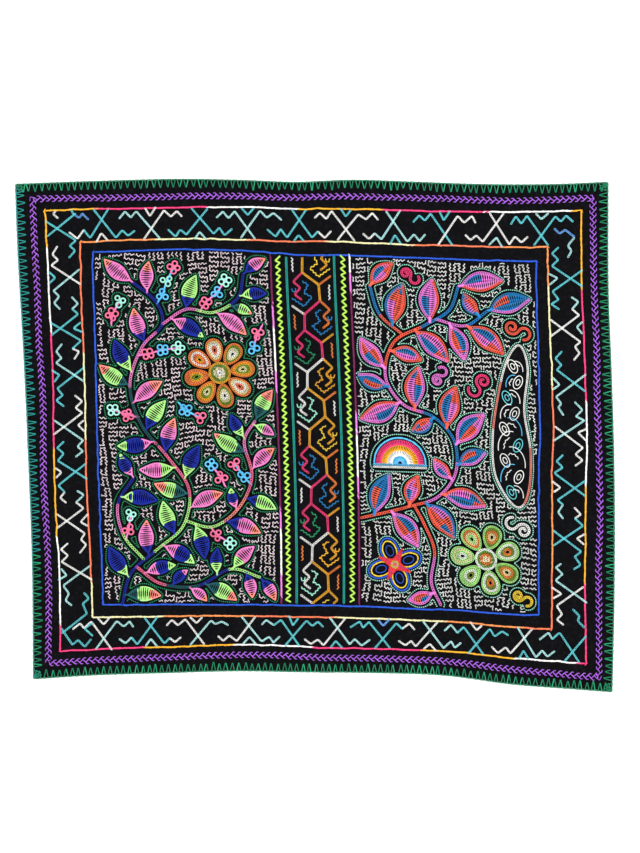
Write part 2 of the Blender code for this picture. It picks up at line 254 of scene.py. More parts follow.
class StageSettings(bpy.types.PropertyGroup):
    """The floor, the lights and the camera."""

    aim_right: length("Aim right", 5.9, "The camera's place to the right of the cloth's middle")
    aim_up: length("Aim up", 10.6, "The camera's place above the cloth's middle, in the picture")
    distance: length("Distance", 2377.0, "From the camera to the cloth")
    floor: dye("Floor", "#ffffff", "White studio paper")


GROUPS = {
    "cloth": ClothSettings,
    "edging": EdgingSettings,
    "lines": LineSettings,
    "field": FieldSettings,
    "dyes": DyeSettings,
    "stage": StageSettings,
}


def settings(group):
    """One group of the user's settings."""
    return getattr(bpy.context.scene, "embroidery_" + group)


def sizes(group, name):
    """One of the user's lengths, in millimetres."""
    return getattr(settings(group), name) / MILLIMETRE


# Paths.


def spaced(path, step, closed=False):
    """Points at even distances along a path of straight runs, about step apart."""
    path = np.asarray(path, dtype=float)
    if closed:
        path = np.vstack((path, path[:1]))
    along = np.concatenate(([0.0], np.cumsum(np.linalg.norm(np.diff(path, axis=0), axis=1))))
    count = max(1, round(along[-1] / step))
    at = np.linspace(0, along[-1], count + 1)
    points = np.column_stack([np.interp(at, along, column) for column in path.T])
    return points[:-1] if closed else points


def curve(stops, step=1.0, closed=False):
    """A smooth path through the stops: a cubic between each two, steered by the stops either side."""
    stops = np.asarray(stops, dtype=float)
    if closed:
        padded = np.vstack((stops[-1:], stops, stops[:2]))
    else:
        padded = np.vstack((2 * stops[0] - stops[1], stops, 2 * stops[-1] - stops[-2]))
    before, start, end, after = (padded[at:len(padded) - 3 + at, None] for at in range(4))
    part = np.linspace(0, 1, 16, endpoint=False)[None, :, None]
    path = 0.5 * (
        2 * start + (end - before) * part + (2 * before - 5 * start + 4 * end - after) * part**2
        + (3 * start - before - 3 * end + after) * part**3
    )
    path = path.reshape(-1, stops.shape[1])
    if not closed:
        path = np.vstack((path, stops[-1]))
    return spaced(path, step, closed)


def unit(vectors):
    """Vectors brought to a length of one."""
    return vectors / np.maximum(np.linalg.norm(vectors, axis=-1, keepdims=True), 1e-9)


def heading(path, closed=False):
    """The unit direction of a path, or of each of several, at each of its points."""
    if closed:
        return unit(np.roll(path, -1, axis=-2) - np.roll(path, 1, axis=-2))
    return unit(np.gradient(path, axis=-2))


def leftward(directions):
    """Directions turned a quarter turn to the left."""
    return np.column_stack((-directions[:, 1], directions[:, 0]))


def beside(path, away, closed=False):
    """The line beside a path, away millimetres to its left."""
    return path + leftward(heading(path, closed)) * np.reshape(away, (-1, 1))


def turned(path, degrees):
    """A path turned anticlockwise about zero."""
    angle = np.radians(degrees)
    cos, sin = np.cos(angle), np.sin(angle)
    return np.asarray(path, dtype=float) @ np.array([[cos, sin], [-sin, cos]])


def circle(radius, step, start=0.0, sweep=360.0):
    """An arc about zero, in degrees, as evenly spaced points; a whole turn leaves out its last point."""
    count = max(6, round(abs(np.radians(sweep)) * radius / step))
    angles = np.radians(np.linspace(start, start + sweep, count + 1))
    points = radius * np.column_stack((np.cos(angles), np.sin(angles)))
    return points[:-1] if abs(sweep) == 360 else points


def clockwise(inset):
    """The corners of the ring at one inset from the rim, clockwise from the top left."""
    u, v = WIDTH / 2 - inset, DEPTH / 2 - inset
    return np.array([(-u, v), (u, v), (u, -v), (-u, -v)])


# Thread.

# The places round a chain stitch, as shares of its length and width, with its height in thread radii.
CHAIN_LOOP = np.array([
    (-0.15, 0.00, 0.2), (0.15, 0.34, 0.6), (0.55, 0.50, 1.0), (0.92, 0.34, 1.3),
    (1.08, 0.00, 1.5), (0.92, -0.34, 1.3), (0.55, -0.50, 1.0), (0.15, -0.34, 0.6),
])
# How flat a laid thread is, how far it goes, in thread widths, in one turn of its twist, and how far its
# pointed end reaches, in radii.
FLATNESS = 0.75
TWIST = 1.6
TIP = 0.8


class Threads:
    """The threads of one piece, as tubes of a few sides, with each face's dye and shade in a UV map.

    The map's u holds the place of the dye among the piece's dyes, and its v a shade from 0 to 1.
    """

    def __init__(self, dyes, seed):
        self.dyes = dyes
        self.draw = np.random.default_rng(seed)
        self.points, self.twists, self.quads, self.tips, self.quad_uvs, self.tip_uvs = ([] for _ in range(6))
        self.count = 0

    def tubes(self, paths, radius, dye_names, height=0.0, sides=4, closed=False):
        """Tubes along paths of equal length, given as (tube, point, u v or u v height).

        A ring of sides points is carried along each path: across it by the radius, up by the radius
        times FLATNESS. Open tubes end in a point a share TIP of the radius past their last ring. The
        dye is one name, or one name a tube.
        """
        paths = np.asarray(paths, dtype=float)
        if paths.ndim == 2:
            paths = paths[None]
        if paths.shape[2] == 2:
            paths = np.pad(paths, ((0, 0), (0, 0), (0, 1)))
        tubes, rings = paths.shape[:2]
        if not tubes:
            return
        radius = np.broadcast_to(np.asarray(radius, dtype=float), (tubes, rings))
        paths = paths + np.array([0.0, 0.0, 1.0]) * (height + radius.mean() * FLATNESS)
        ahead = heading(paths, closed)
        left = unit(np.stack((-ahead[..., 1], ahead[..., 0], np.zeros((tubes, rings))), axis=-1))
        up = np.cross(ahead, left)
        angle = -np.pi / 2 + np.pi / sides * (sides % 2) + 2 * np.pi * np.arange(sides) / sides
        across = left[:, :, None] * np.cos(angle)[:, None]
        across = across + up[:, :, None] * np.sin(angle)[:, None] * FLATNESS
        shell = paths[:, :, None] + across * radius[:, :, None, None]
        steps = np.linalg.norm(np.diff(paths, axis=1), axis=2)
        along = np.concatenate((np.zeros((tubes, 1)), np.cumsum(steps, axis=1)), axis=1)
        turns = along / (2 * radius.mean() * TWIST)
        twist = turns[:, :, None] + np.arange(sides) / sides

        spans = rings if closed else rings - 1
        ring_index = np.arange(tubes * rings * sides).reshape(tubes, rings, sides) + self.count
        lower = ring_index[:, :spans]
        upper = np.roll(ring_index, -1, axis=1)[:, :spans]
        quads = np.stack((lower, np.roll(lower, -1, axis=2), np.roll(upper, -1, axis=2), upper), axis=-1)
        self.points.append(shell.reshape(-1, 3))
        self.twists.append(twist.ravel())
        self.quads.append(quads.reshape(-1, 4))
        self.count += tubes * rings * sides

        places = [self.dyes.index(name) for name in np.atleast_1d(dye_names)]
        dyes = np.broadcast_to(np.reshape(places, (-1, 1)), (tubes, spans))
        shade = self.draw.uniform(0.05, 0.85, (tubes, 1, 1, 1))
        around = np.arange(sides) / sides
        corner_u = np.stack((around, around + 1 / sides, around + 1 / sides, around), axis=-1)
        corner_u = (dyes[:, :, None, None] + 0.2 + 0.6 * corner_u) / len(self.dyes)
        corner_v = shade + 0.1 * np.array([0.0, 0.0, 1.0, 1.0])
        uvs = np.stack(np.broadcast_arrays(corner_u, corner_v), axis=-1)
        self.quad_uvs.append(uvs.reshape(-1, 2))
        if closed:
            return

        ends = np.stack((paths[:, 0] - ahead[:, 0] * radius[:, :1] * TIP,
                         paths[:, -1] + ahead[:, -1] * radius[:, -1:] * TIP), axis=1)
        tip_index = np.arange(tubes * 2).reshape(tubes, 2) + self.count
        self.points.append(ends.reshape(-1, 3))
        self.twists.append(turns[:, (0, -1)].ravel())
        self.count += tubes * 2
        first, last = ring_index[:, 0], ring_index[:, -1]
        fans = ((tip_index[:, :1], np.roll(first, -1, axis=1), first),
                (tip_index[:, 1:], last, np.roll(last, -1, axis=1)))
        fans = [np.stack(np.broadcast_arrays(*fan), axis=-1) for fan in fans]
        self.tips.append(np.stack(fans, axis=1).reshape(-1, 3))
        tip_dyes = np.repeat(dyes[:, (0, -1)], sides, axis=1).reshape(tubes, 2, sides, 1)
        tip_u = (tip_dyes + 0.2 + 0.6 * np.array([0.5, 0.0, 1.0])) / len(self.dyes)
        tip_v = shade + 0.1 * np.array([1.0, 0.0, 0.0])
        self.tip_uvs.append(np.stack(np.broadcast_arrays(tip_u, tip_v), axis=-1).reshape(-1, 2))

    def thread(self, path, radius, dye_name, height=0.0, step=1.2, closed=False):
        """One laid thread along a path."""
        self.tubes(spaced(path, step, closed), radius, dye_name, height, 4, closed)

    def chain(self, path, dye_names, width=3.0, pitch=3.0, height=0.0, closed=False, loose=0.17):
        """Chain stitch: a teardrop loop at each pitch, its round end lying over the next one's start.

        The thread's radius is the share loose of the row's width, so a lower share leaves a wider hole.
        """
        knots = spaced(path, pitch, closed)
        starts = knots if closed else knots[:-1]
        ends = np.roll(knots, -1, axis=0) if closed else knots[1:]
        radius = min(0.64, width * loose)
        run = ends - starts
        left = leftward(unit(run)) * (width - 2 * radius) * self.draw.uniform(0.93, 1.07, (len(run), 1))
        along, across, raised = CHAIN_LOOP.T
        loops = starts[:, None] + run[:, None] * along[:, None] + left[:, None] * across[:, None]
        levels = np.broadcast_to(raised * radius * 0.5, loops.shape[:2])
        self.tubes(np.concatenate((loops, levels[:, :, None]), axis=2), radius, dye_names, height, 3, True)

    def rope(self, path, dye_names, width=2.9, pitch=2.0, height=0.0, closed=False):
        """Stem stitch: slanting stitches that each cross the row and lie half over the one before."""
        knots = spaced(path, pitch, closed)
        ahead = heading(knots, closed)
        left = leftward(ahead)
        radius = width * 0.27
        reach = pitch * 1.15 * ahead
        slant = left * (width / 2 - radius * 0.9)
        share = np.array([-1.0, -0.5, 0.5, 1.0])[:, None]
        stitches = knots[:, None] + reach[:, None] * share + slant[:, None] * share
        stitches = stitches + self.draw.normal(0, 0.12, (len(knots), 1, 2))
        radii = radius * np.array([0.5, 1.0, 1.0, 0.5]) * self.draw.uniform(0.8, 1.12, (len(knots), 1))
        self.tubes(stitches, radii, dye_names, height)

    def dots(self, path, dye_name, pitch, thread, keep):
        """Back stitch: short stitches with small gaps along a path, at the places that keep() allows."""
        knots = spaced(path, pitch)
        middles = (knots[:-1] + knots[1:]) / 2
        kept = keep(middles)
        share = np.array([-0.15, 0.15])[:, None] * pitch
        self.tubes(middles[kept, None] + heading(middles)[kept, None] * share, thread / 2, dye_name)

    def bars(self, left, right, dye_names, thread, pinch, height=0.0):
        """Satin bars from each place on one rail to the same place on the other, thinner half way."""
        share = np.array([0.0, 0.2, 0.36, 0.64, 0.8, 1.0])[:, None]
        paths = left[:, None] * (1 - share) + right[:, None] * share
        rise = np.broadcast_to(np.sin(np.pi * share.T) * 0.35, paths.shape[:2])
        radii = thread / 2 * np.array([1.0, 1.0, pinch, pinch, 1.0, 1.0])
        self.tubes(np.concatenate((paths, rise[:, :, None]), axis=2), radii, dye_names, height)

    def mixed(self, count, step, stops, cycle=None, start=0.0):
        """Dye names along a row of count stitches, from (distance, dye) rows, softened where they change.

        Each stitch reads the row at its own distance plus a small seeded jitter.
        """
        at = start + np.arange(count) * step + self.draw.normal(0, 2.0, count)
        if cycle:
            at = at % cycle
        knots, names = zip(*stops)
        return np.array(names)[np.clip(np.searchsorted(knots, at, side="right") - 1, 0, len(knots) - 1)]

    def piece(self, name, slot, material, node=None):
        """The threads as one mesh object in the frame, with its material and body; the slot is not used."""
        quads = np.concatenate(self.quads)
        tips = np.concatenate(self.tips or [np.zeros((0, 3), dtype=int)])
        corners = np.concatenate((quads.ravel(), tips.ravel()))
        starts = np.concatenate((np.arange(len(quads)) * 4, quads.size + np.arange(len(tips)) * 3))
        thing = new_piece(name, lay(np.concatenate(self.points)), corners, starts, material)
        uvs = np.concatenate(self.quad_uvs + self.tip_uvs)
        thing.data.uv_layers.new(name="OFBake").data.foreach_set("uv", uvs.ravel())
        twist = thing.data.attributes.new("twist", "FLOAT", "POINT")
        twist.data.foreach_set("value", np.concatenate(self.twists))
        declare(thing, node)


def new_piece(name, points, corners, starts, material):
    """A smooth mesh object from points in metres, its faces' corners and where each face starts."""
    mesh = bpy.data.meshes.new(name)
    mesh.vertices.add(len(points))
    mesh.vertices.foreach_set("co", points.astype(np.float32).ravel())
    mesh.loops.add(len(corners))
    mesh.loops.foreach_set("vertex_index", corners.astype(np.int32))
    mesh.polygons.add(len(starts))
    mesh.polygons.foreach_set("loop_start", starts.astype(np.int32))
    mesh.polygons.foreach_set("use_smooth", np.ones(len(starts), dtype=bool))
    mesh.update(calc_edges=True)
    mesh.materials.append(material)
    thing = bpy.data.objects.new(name, mesh)
    bpy.context.scene.collection.objects.link(thing)
    return thing


def declare(thing, node=None):
    """The piece rides on the cloth and may stand for a CAD node."""
    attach(thing, "root")
    if node:
        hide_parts(node)


# Materials.


def fill(filled, links=(), values=()):
    """Gives a node its links, as (socket, from node, from socket), and its values, as (socket, value)."""
    for socket, source, output in links:
        filled.id_data.links.new(source.outputs[output], filled.inputs[socket])
    for socket, value in values:
        filled.inputs[socket].default_value = value
    return filled


def node(material, kind, links=(), values=(), **traits):
    """Adds a shader node with its traits, links and values."""
    added = material.node_tree.nodes.new(kind)
    for name, value in traits.items():
        setattr(added, name, value)
    return fill(added, links, values)


def new_material(name):
    """A new material and its shader."""
    material = bpy.data.materials.new(name)
    material.use_nodes = True
    return material, material.node_tree.nodes["Principled BSDF"]


def thread_material(name, dyes):
    """Mercerised cotton thread: dyed, twisted and singed, so it shines softly along its turns.

    The dye is read from the map's u and the shade from its v, and the twist is a sine of the turns.
    """
    material, shader = new_material(name)
    place = node(material, "ShaderNodeUVMap", uv_map="OFBake")
    parts = node(material, "ShaderNodeSeparateXYZ", [("Vector", place, "UV")])
    ramp = node(material, "ShaderNodeValToRGB", [("Fac", parts, "X")])
    ramp.color_ramp.interpolation = "CONSTANT"
    elements = ramp.color_ramp.elements
    if len(dyes) == 1:
        elements.remove(elements[1])
    for index in range(len(elements), len(dyes)):
        elements.new(1.0)
    for index, dyed in enumerate(dyes):
        elements[index].position = index / len(dyes)
        elements[index].color = (*dyed, 1.0)
    shade = node(material, "ShaderNodeMapRange", [("Value", parts, "Y")],
                 [("To Min", 0.82), ("To Max", 1.16)])
    colour = node(material, "ShaderNodeVectorMath", [(0, ramp, "Color"), (1, shade, "Result")],
                  operation="MULTIPLY")
    turns = node(material, "ShaderNodeAttribute", attribute_name="twist")
    angle = node(material, "ShaderNodeMath", [(0, turns, "Fac")], [(1, 2 * np.pi)], operation="MULTIPLY")
    ply = node(material, "ShaderNodeMath", [(0, angle, "Value")], operation="SINE")
    bump = node(material, "ShaderNodeBump", [("Height", ply, "Value")],
                [("Strength", 0.35), ("Distance", 0.2 * MILLIMETRE)])
    fill(shader, [("Base Color", colour, "Vector"), ("Normal", bump, "Normal")],
         [("Roughness", 0.52), ("Specular IOR Level", 0.2), ("Sheen Weight", 0.05), ("Sheen Roughness", 0.4)])
    return material


def embroidery_thread(dye_names):
    """The embroidery thread in the dyes that one piece uses."""
    dyes = [tuple(getattr(settings("dyes"), name)) for name in dye_names]
    return thread_material("mercerised cotton thread", dyes)


def cotton_material():
    """Black cotton plain weave: matt, faintly grey where threads cross, with lint in places.

    The real threads are 0.45 mm apart, too fine for the render, so the weave is drawn at 1.2 mm.
    """
    material, shader = new_material("black cotton plain weave")
    place = node(material, "ShaderNodeTexCoord")
    across, along = (
        node(material, "ShaderNodeTexWave", [("Vector", place, "Object")],
             [("Scale", 2 * np.pi / 20 / (1.2 * MILLIMETRE)), ("Distortion", 1.5), ("Detail", 1.0)],
             bands_direction=axis)
        for axis in ("X", "Y"))
    weave = node(material, "ShaderNodeMath", [(0, across, "Fac"), (1, along, "Fac")], operation="MAXIMUM")
    lint = node(material, "ShaderNodeTexNoise", [("Vector", place, "Object")],
                [("Scale", 260.0), ("Detail", 4.0)])
    ramp = node(material, "ShaderNodeValToRGB", [("Fac", lint, "Fac")])
    ramp.color_ramp.elements.new(0.55)
    ground = np.array(settings("cloth").ground)
    for element, (at, share) in zip(ramp.color_ramp.elements, ((0.35, 0.7), (0.55, 1.0), (0.70, 1.9))):
        element.position = at
        element.color = (*np.minimum(ground * share, 1.0), 1.0)
    bump = node(material, "ShaderNodeBump", [("Height", weave, "Value")],
                [("Strength", 0.5), ("Distance", 0.15 * MILLIMETRE)])
    fill(shader, [("Base Color", ramp, "Color"), ("Normal", bump, "Normal")],
         [("Roughness", 0.92), ("Specular IOR Level", 0.06)])
    return material


def paper_material():
    """White studio paper: matt, and lit to the white of the picture's ground."""
    material, shader = new_material("white studio paper")
    place = node(material, "ShaderNodeTexCoord")
    grain = node(material, "ShaderNodeTexNoise", [("Vector", place, "Object")], [("Scale", 400.0)])
    bump = node(material, "ShaderNodeBump", [("Height", grain, "Fac")],
                [("Strength", 0.05), ("Distance", 0.1 * MILLIMETRE)])
    fill(shader, [("Normal", bump, "Normal")],
         [("Base Color", (*settings("stage").floor, 1.0)), ("Roughness", 0.8)])
    return material


# The cloth and its edging.


def cloth_surface():
    """The sheet as one closed skin: a face, a back stepped down at the hem, and a rounded rim.

    The skin is a grid of places (u, v) for each of two layers. The face lies at the thickness and drops
    at its last places to round the rim; the back lies half a millimetre up inside the hem.
    """
    cell, hem = sizes("cloth", "cell"), sizes("cloth", "hem")
    thickness = sizes("cloth", "thickness")
    axes = []
    for size in (WIDTH, DEPTH):
        inner = np.linspace(-size / 2 + hem, size / 2 - hem, round((size - 2 * hem) / cell) + 1)
        edge = size / 2 - np.array([0.0, 0.15, 0.6, 2.5, 5.0, 8.0, hem - 1.0])
        axes.append(np.concatenate((-edge, inner, edge[::-1])))
    u, v = np.meshgrid(*axes, indexing="ij")
    inset = np.minimum(WIDTH / 2 - np.abs(u), DEPTH / 2 - np.abs(v))
    rounding = np.interp(inset, (0.0, 0.15, 0.6), (0.42, 0.2, 0.0)) * thickness
    face = np.column_stack((u.ravel(), v.ravel(), -rounding.ravel()))
    back_rise = np.interp(inset, (0.0, 0.15, 0.6, hem - 1.0, hem), (0.35, 0.15, 0.0, 0.0, 0.4))
    back = np.column_stack((u.ravel(), v.ravel(), (back_rise - thickness).ravel()))
    rows, columns = u.shape
    index = np.arange(rows * columns).reshape(rows, columns)
    quads = np.stack((index[:-1, :-1], index[1:, :-1], index[1:, 1:], index[:-1, 1:]), axis=-1).reshape(-1, 4)
    rim = np.concatenate((index[:-1, 0], index[-1, :-1], index[:0:-1, -1], index[0, :0:-1]))
    after = np.roll(rim, -1)
    offset = rows * columns
    side = np.column_stack((rim + offset, after + offset, after, rim))
    return np.vstack((face, back)), np.vstack((quads, quads[:, ::-1] + offset, side))


# The edging's colours: green and sea green are dyes, and the second is the paler painted-highlight green.
EDGING_DYES_AND_HIGHLIGHT = ("green", "pale_green", "sea_green")
# The v down to which the left side is worked in sea green.
SEA_GREEN_TO = -147.0
# A strand from its foot, as (share of the way to its point, distance out of the rim, height).
STRAND = ((0.0, 0.9, -1.15), (0.0, 1.0, -0.4), (0.02, 0.5, 0.1), (0.3, 0, 0.1), (0.7, 0, 0.1),
          (1.0, 0, -0.15))
# How far a side's first and last foot lie from its corners.
EDGING_ENDS = 3.0


def edging_threads():
    """Closed blanket stitch: from each foot on the rim two strands run in to one point.

    Foot and point places are even places along the side plus a seeded jitter. Each strand starts under
    the rim, comes over it and runs flat to its point.
    """
    threads = Threads(EDGING_DYES_AND_HIGHLIGHT, 11)
    pitch, depth, radius = sizes("edging", "pitch"), sizes("edging", "depth"), sizes("edging", "thread") / 2
    corners = clockwise(0.0)
    for side, (start, end) in enumerate(zip(corners, np.roll(corners, -1, axis=0))):
        run = np.linalg.norm(end - start)
        ahead = (end - start) / run
        inward = np.array([ahead[1], -ahead[0]])
        room = run - 2 * EDGING_ENDS
        count = round(room / pitch)
        feet = EDGING_ENDS + np.arange(count + 1) * room / count + threads.draw.normal(0, 0.35, count + 1)
        points = (feet[:-1] + feet[1:]) / 2 + threads.draw.normal(0, 0.45, count)
        half = 0.34 * pitch + threads.draw.normal(0, 0.3, count)
        depths = depth + threads.draw.normal(0, 0.6, count)
        for foot, lean in ((points - half, 0.3), (points + half, -0.3)):
            base = start + ahead * (foot + lean)[:, None]
            point = start + ahead * (points - lean)[:, None] + inward * depths[:, None]
            strands = []
            for share, out, height in STRAND:
                flat = base * (1 - share) + point * share - inward * out
                strands.append(np.column_stack((flat, np.full(count, height))))
            # Painted highlight: about one strand in five takes the paler highlight green at random.
            names = np.where(threads.draw.uniform(size=count) < 0.22, "pale_green", "green")
            if side == 3:
                names = np.where(base[:, 1] > SEA_GREEN_TO, "sea_green", names)
            threads.tubes(np.stack(strands, axis=1), radius * 0.85, names)
        rim = spaced((start, end), 2.6)
        rim = rim - inward * (0.75 + 0.25 * np.sin(np.arange(len(rim)) * 2.1))[:, None]
        name = "sea_green" if side == 3 else "green"
        threads.tubes(rim, radius * 0.8, name, -0.55)
        corner = start + ahead * 0.4
        for angle in (20.0, 45.0, 70.0):
            tip = corner + turned([ahead], -angle)[0] * 9.5
            threads.tubes((corner, (corner + tip) / 2, tip), radius * 0.8, name)
    return threads


# Rows all round.

# How far each row that runs all round lies from the rim: for each side, rows of (along, inset), where
# along is the share of the side from its left or lower end.
Row = namedtuple("Row", "top right bottom left")
BRAID = Row(
    top=((0.05, 18.0), (0.16, 20.0), (0.25, 20.5), (0.35, 18.8), (0.50, 17.9), (0.60, 19.4), (0.75, 18.0),
         (0.84, 18.8), (0.95, 17.0)),
    right=((0.05, 15.6), (0.16, 17.4), (0.25, 18.4), (0.33, 16.4), (0.58, 17.5), (0.67, 15.4), (0.95, 17.2)),
    bottom=((0.05, 17.0), (0.25, 18.0), (0.42, 19.0), (0.50, 17.0), (0.67, 16.2), (0.84, 17.0), (0.95, 15.2)),
    left=((0.05, 17.4), (0.16, 18.4), (0.25, 18.0), (0.40, 15.8), (0.50, 18.2), (0.58, 19.6), (0.67, 17.8),
          (0.78, 19.7), (0.95, 19.0)),
)
OUTER_LINE = Row(
    top=((0.05, 32.4), (0.25, 34.0), (0.42, 32.0), (0.50, 32.2), (0.58, 35.0), (0.67, 34.4), (0.84, 32.0),
         (0.95, 31.4)),
    right=((0.05, 31.3), (0.16, 34.0), (0.25, 34.7), (0.42, 33.2), (0.50, 30.6), (0.75, 30.6), (0.95, 30.8)),
    bottom=((0.05, 30.4), (0.25, 30.7), (0.42, 31.3), (0.50, 28.6), (0.67, 28.0), (0.84, 30.5), (0.95, 30.2)),
    left=((0.05, 31.8), (0.16, 31.8), (0.33, 29.4), (0.42, 29.0), (0.58, 32.0), (0.84, 34.0), (0.95, 33.0)),
)
INNER_LINE = Row(
    top=((0.10, 72.4), (0.33, 72.0), (0.50, 72.2), (0.58, 75.6), (0.67, 76.2), (0.76, 74.4), (0.90, 74.3)),
    right=((0.10, 74.0), (0.42, 74.1), (0.50, 70.7), (0.67, 70.5), (0.90, 71.2)),
    bottom=((0.10, 69.4), (0.33, 66.5), (0.50, 66.5), (0.67, 64.1), (0.76, 66.5), (0.90, 68.9)),
    left=((0.10, 71.4), (0.24, 69.1), (0.38, 67.1), (0.58, 70.0), (0.76, 71.4), (0.90, 73.6)),
)
FIELD_LINE = Row(
    top=((0.10, 85.6), (0.33, 84.9), (0.42, 86.3), (0.58, 91.6), (0.76, 91.5), (0.90, 91.0)),
    right=((0.10, 89.6), (0.24, 90.4), (0.42, 89.8), (0.50, 87.2), (0.67, 85.2), (0.90, 84.3)),
    bottom=((0.10, 84.6), (0.33, 80.2), (0.50, 80.9), (0.67, 77.8), (0.76, 81.0), (0.90, 86.0)),
    left=((0.10, 84.8), (0.24, 82.4), (0.42, 81.6), (0.58, 83.4), (0.76, 86.2), (0.90, 88.0)),
)

# How far from the top left corner, clockwise, the outer line changes its dye; it takes three dyes in turn.
OUTER_DYES = ("gold", "hot_pink", "white")
OUTER_CHANGES = (0, 60, 195, 300, 400, 525, 625, 730, 865, 965, 1080, 1185, 1265, 1375, 1505, 1600, 1710,
                 1845, 1955, 2060, 2200, 2305)
# The inner line's dyes from its top left corner, clockwise.
INNER_RUNS = (
    (0, "apricot"), (90, "cream"), (200, "flame"), (292, "cream"), (396, "flame"), (508, "apricot"),
    (600, "cream"), (724, "flame"), (835, "apricot"), (945, "flame"), (1045, "apricot"), (1142, "cream"),
    (1274, "flame"), (1375, "apricot"), (1480, "cream"), (1616, "flame"), (1786, "cream"), (1894, "flame"),
)


SIDES = {"top": WIDTH, "right": DEPTH, "bottom": WIDTH, "left": DEPTH}


def inset(row, side, along):
    """A row's inset on one side, straight between its table's places; along is in millimetres."""
    knots, values = np.array(getattr(row, side)).T
    return np.interp(along, knots * SIDES[side], values)


def placed(side, along, away):
    """The place (u, v) at a distance along a side from its left or lower end, and in from its rim."""
    if side in ("top", "bottom"):
        return np.stack((along - WIDTH / 2, DEPTH / 2 - away if side == "top" else away - DEPTH / 2), axis=-1)
    return np.stack((WIDTH / 2 - away if side == "right" else away - WIDTH / 2, along - DEPTH / 2), axis=-1)


def around(row):
    """A row's path all round, clockwise from the top left, with a place about every 12 mm."""
    path = []
    for side, size in SIDES.items():
        before, after = ("left", "right") if side in ("top", "bottom") else ("bottom", "top")
        corner = {"top": DEPTH, "right": WIDTH}.get(side, 0.0)
        along = np.linspace(inset(row, before, corner), size - inset(row, after, corner), round(size / 12))
        places = placed(side, along, inset(row, side, along))
        path.append((places[::-1] if side in ("right", "bottom") else places)[:-1])
    return np.vstack(path)


# A braid stitch from its row's place: along the row, and across it in shares of half the row's width.
BRAID_STITCH = ((-5.6, 0.84), (-3.7, 0.9), (-1.4, 0.3), (1.4, -0.35))
BRAID_RADII = (0.42, 0.6, 0.64, 0.48)


def braid_threads():
    """Hooked stitches from the row's two edges by turns: along the edge, then in across the middle."""
    threads = Threads(("purple",), 21)
    half, pitch = sizes("lines", "braid") / 2, sizes("lines", "braid_pitch")
    grain = 0.4
    row = spaced(around(BRAID), grain, True)
    left = leftward(heading(row, True))
    count = round(len(row) * grain / pitch)
    along, share = np.array(BRAID_STITCH).T
    for side, shift in ((1, 0.5), (-1, 0.0)):
        places = (np.arange(count) + shift) * len(row) / count
        reach = side * half * threads.draw.uniform(0.88, 1.1, (count, 1, 1))
        at = np.round(places[:, None] + along / grain).astype(int) % len(row)
        threads.tubes(row[at] + left[at] * reach * share[:, None], BRAID_RADII, "purple", 0.1)
    return threads


def ringed_row(row, dyes, seed, stops):
    """One twisted row round the cloth, its dyes changing along it."""
    threads = Threads(dyes, seed)
    step = 2.0
    path = handmade(around(row), threads.draw, 0.3)
    names = threads.mixed(len(spaced(path, step, True)), step, stops)
    threads.rope(path, names, sizes("lines", "rope"), step, closed=True)
    return threads


# The crossed-lines border.

BORDER_DEPTH = 37.4
# One unit from its crossing: a leg (and its mirror image) and a chevron, as (along, inward) stops.
LEG = ((-9.0, 0.6), (15.7, 33.4), (23.2, 25.6), (30.0, 32.6), (37.6, 25.8))
CHEVRON = ((-6.8, 36.8), (0.0, 28.2), (6.8, 36.8))
# No stop of a unit lies nearer than this to the ends of its side, where the outer line turns.
BORDER_CLEAR = 31.8
LETTERS = {"a": "aqua", "p": "pale_aqua", "w": "white", "b": "light_blue"}

# For each side, in order from its left or lower end: the crossing's place, and the dyes of the leg that
# runs on, the mirrored leg and the chevron. A second letter is the dye of that leg's tip.
Unit = namedtuple("Unit", "along onward backward chevron")
BORDER = {
    "top": (
        Unit(100.0, "a", "aw", "w"), Unit(158.0, "w", "p", "w"), Unit(216.1, "a", "a", "p"),
        Unit(273.4, "p", "p", "a"), Unit(334.4, "aw", "a", "a"), Unit(389.9, "w", "w", "a"),
        Unit(447.8, "p", "pw", "a"), Unit(507.2, "w", "a", "a"), Unit(567.8, "w", "w", "p"),
        Unit(622.0, "a", "a", "p"),
    ),
    "bottom": (
        Unit(85.0, "p", "w", "w"), Unit(141.5, "aw", "ap", "p"), Unit(197.9, "p", "w", "w"),
        Unit(260.2, "p", "w", "p"), Unit(313.8, "a", "ap", "a"), Unit(366.4, "p", "w", "a"),
        Unit(422.0, "aw", "a", "b"), Unit(479.6, "p", "w", "w"), Unit(534.8, "a", "ap", "w"),
        Unit(592.5, "p", "w", "a"), Unit(651.0, "a", "ap", ""),
    ),
    "left": (
        Unit(55.6, "", "", "a"), Unit(124.1, "w", "p", "p"), Unit(187.4, "wp", "w", "w"),
        Unit(248.3, "a", "aw", "w"), Unit(303.1, "w", "p", "w"), Unit(365.7, "p", "a", "a"),
        Unit(423.1, "ap", "aw", "a"), Unit(484.8, "w", "p", "a"), Unit(545.8, "a", "a", ""),
    ),
    "right": (
        Unit(111.5, "p", "w", "w"), Unit(178.0, "aw", "a", "w"), Unit(239.4, "a", "ap", "w"),
        Unit(302.5, "p", "w", "w"), Unit(363.0, "a", "p", "p"), Unit(429.0, "wp", "w", "p"),
        Unit(488.0, "a", "a", "p"),
    ),
}
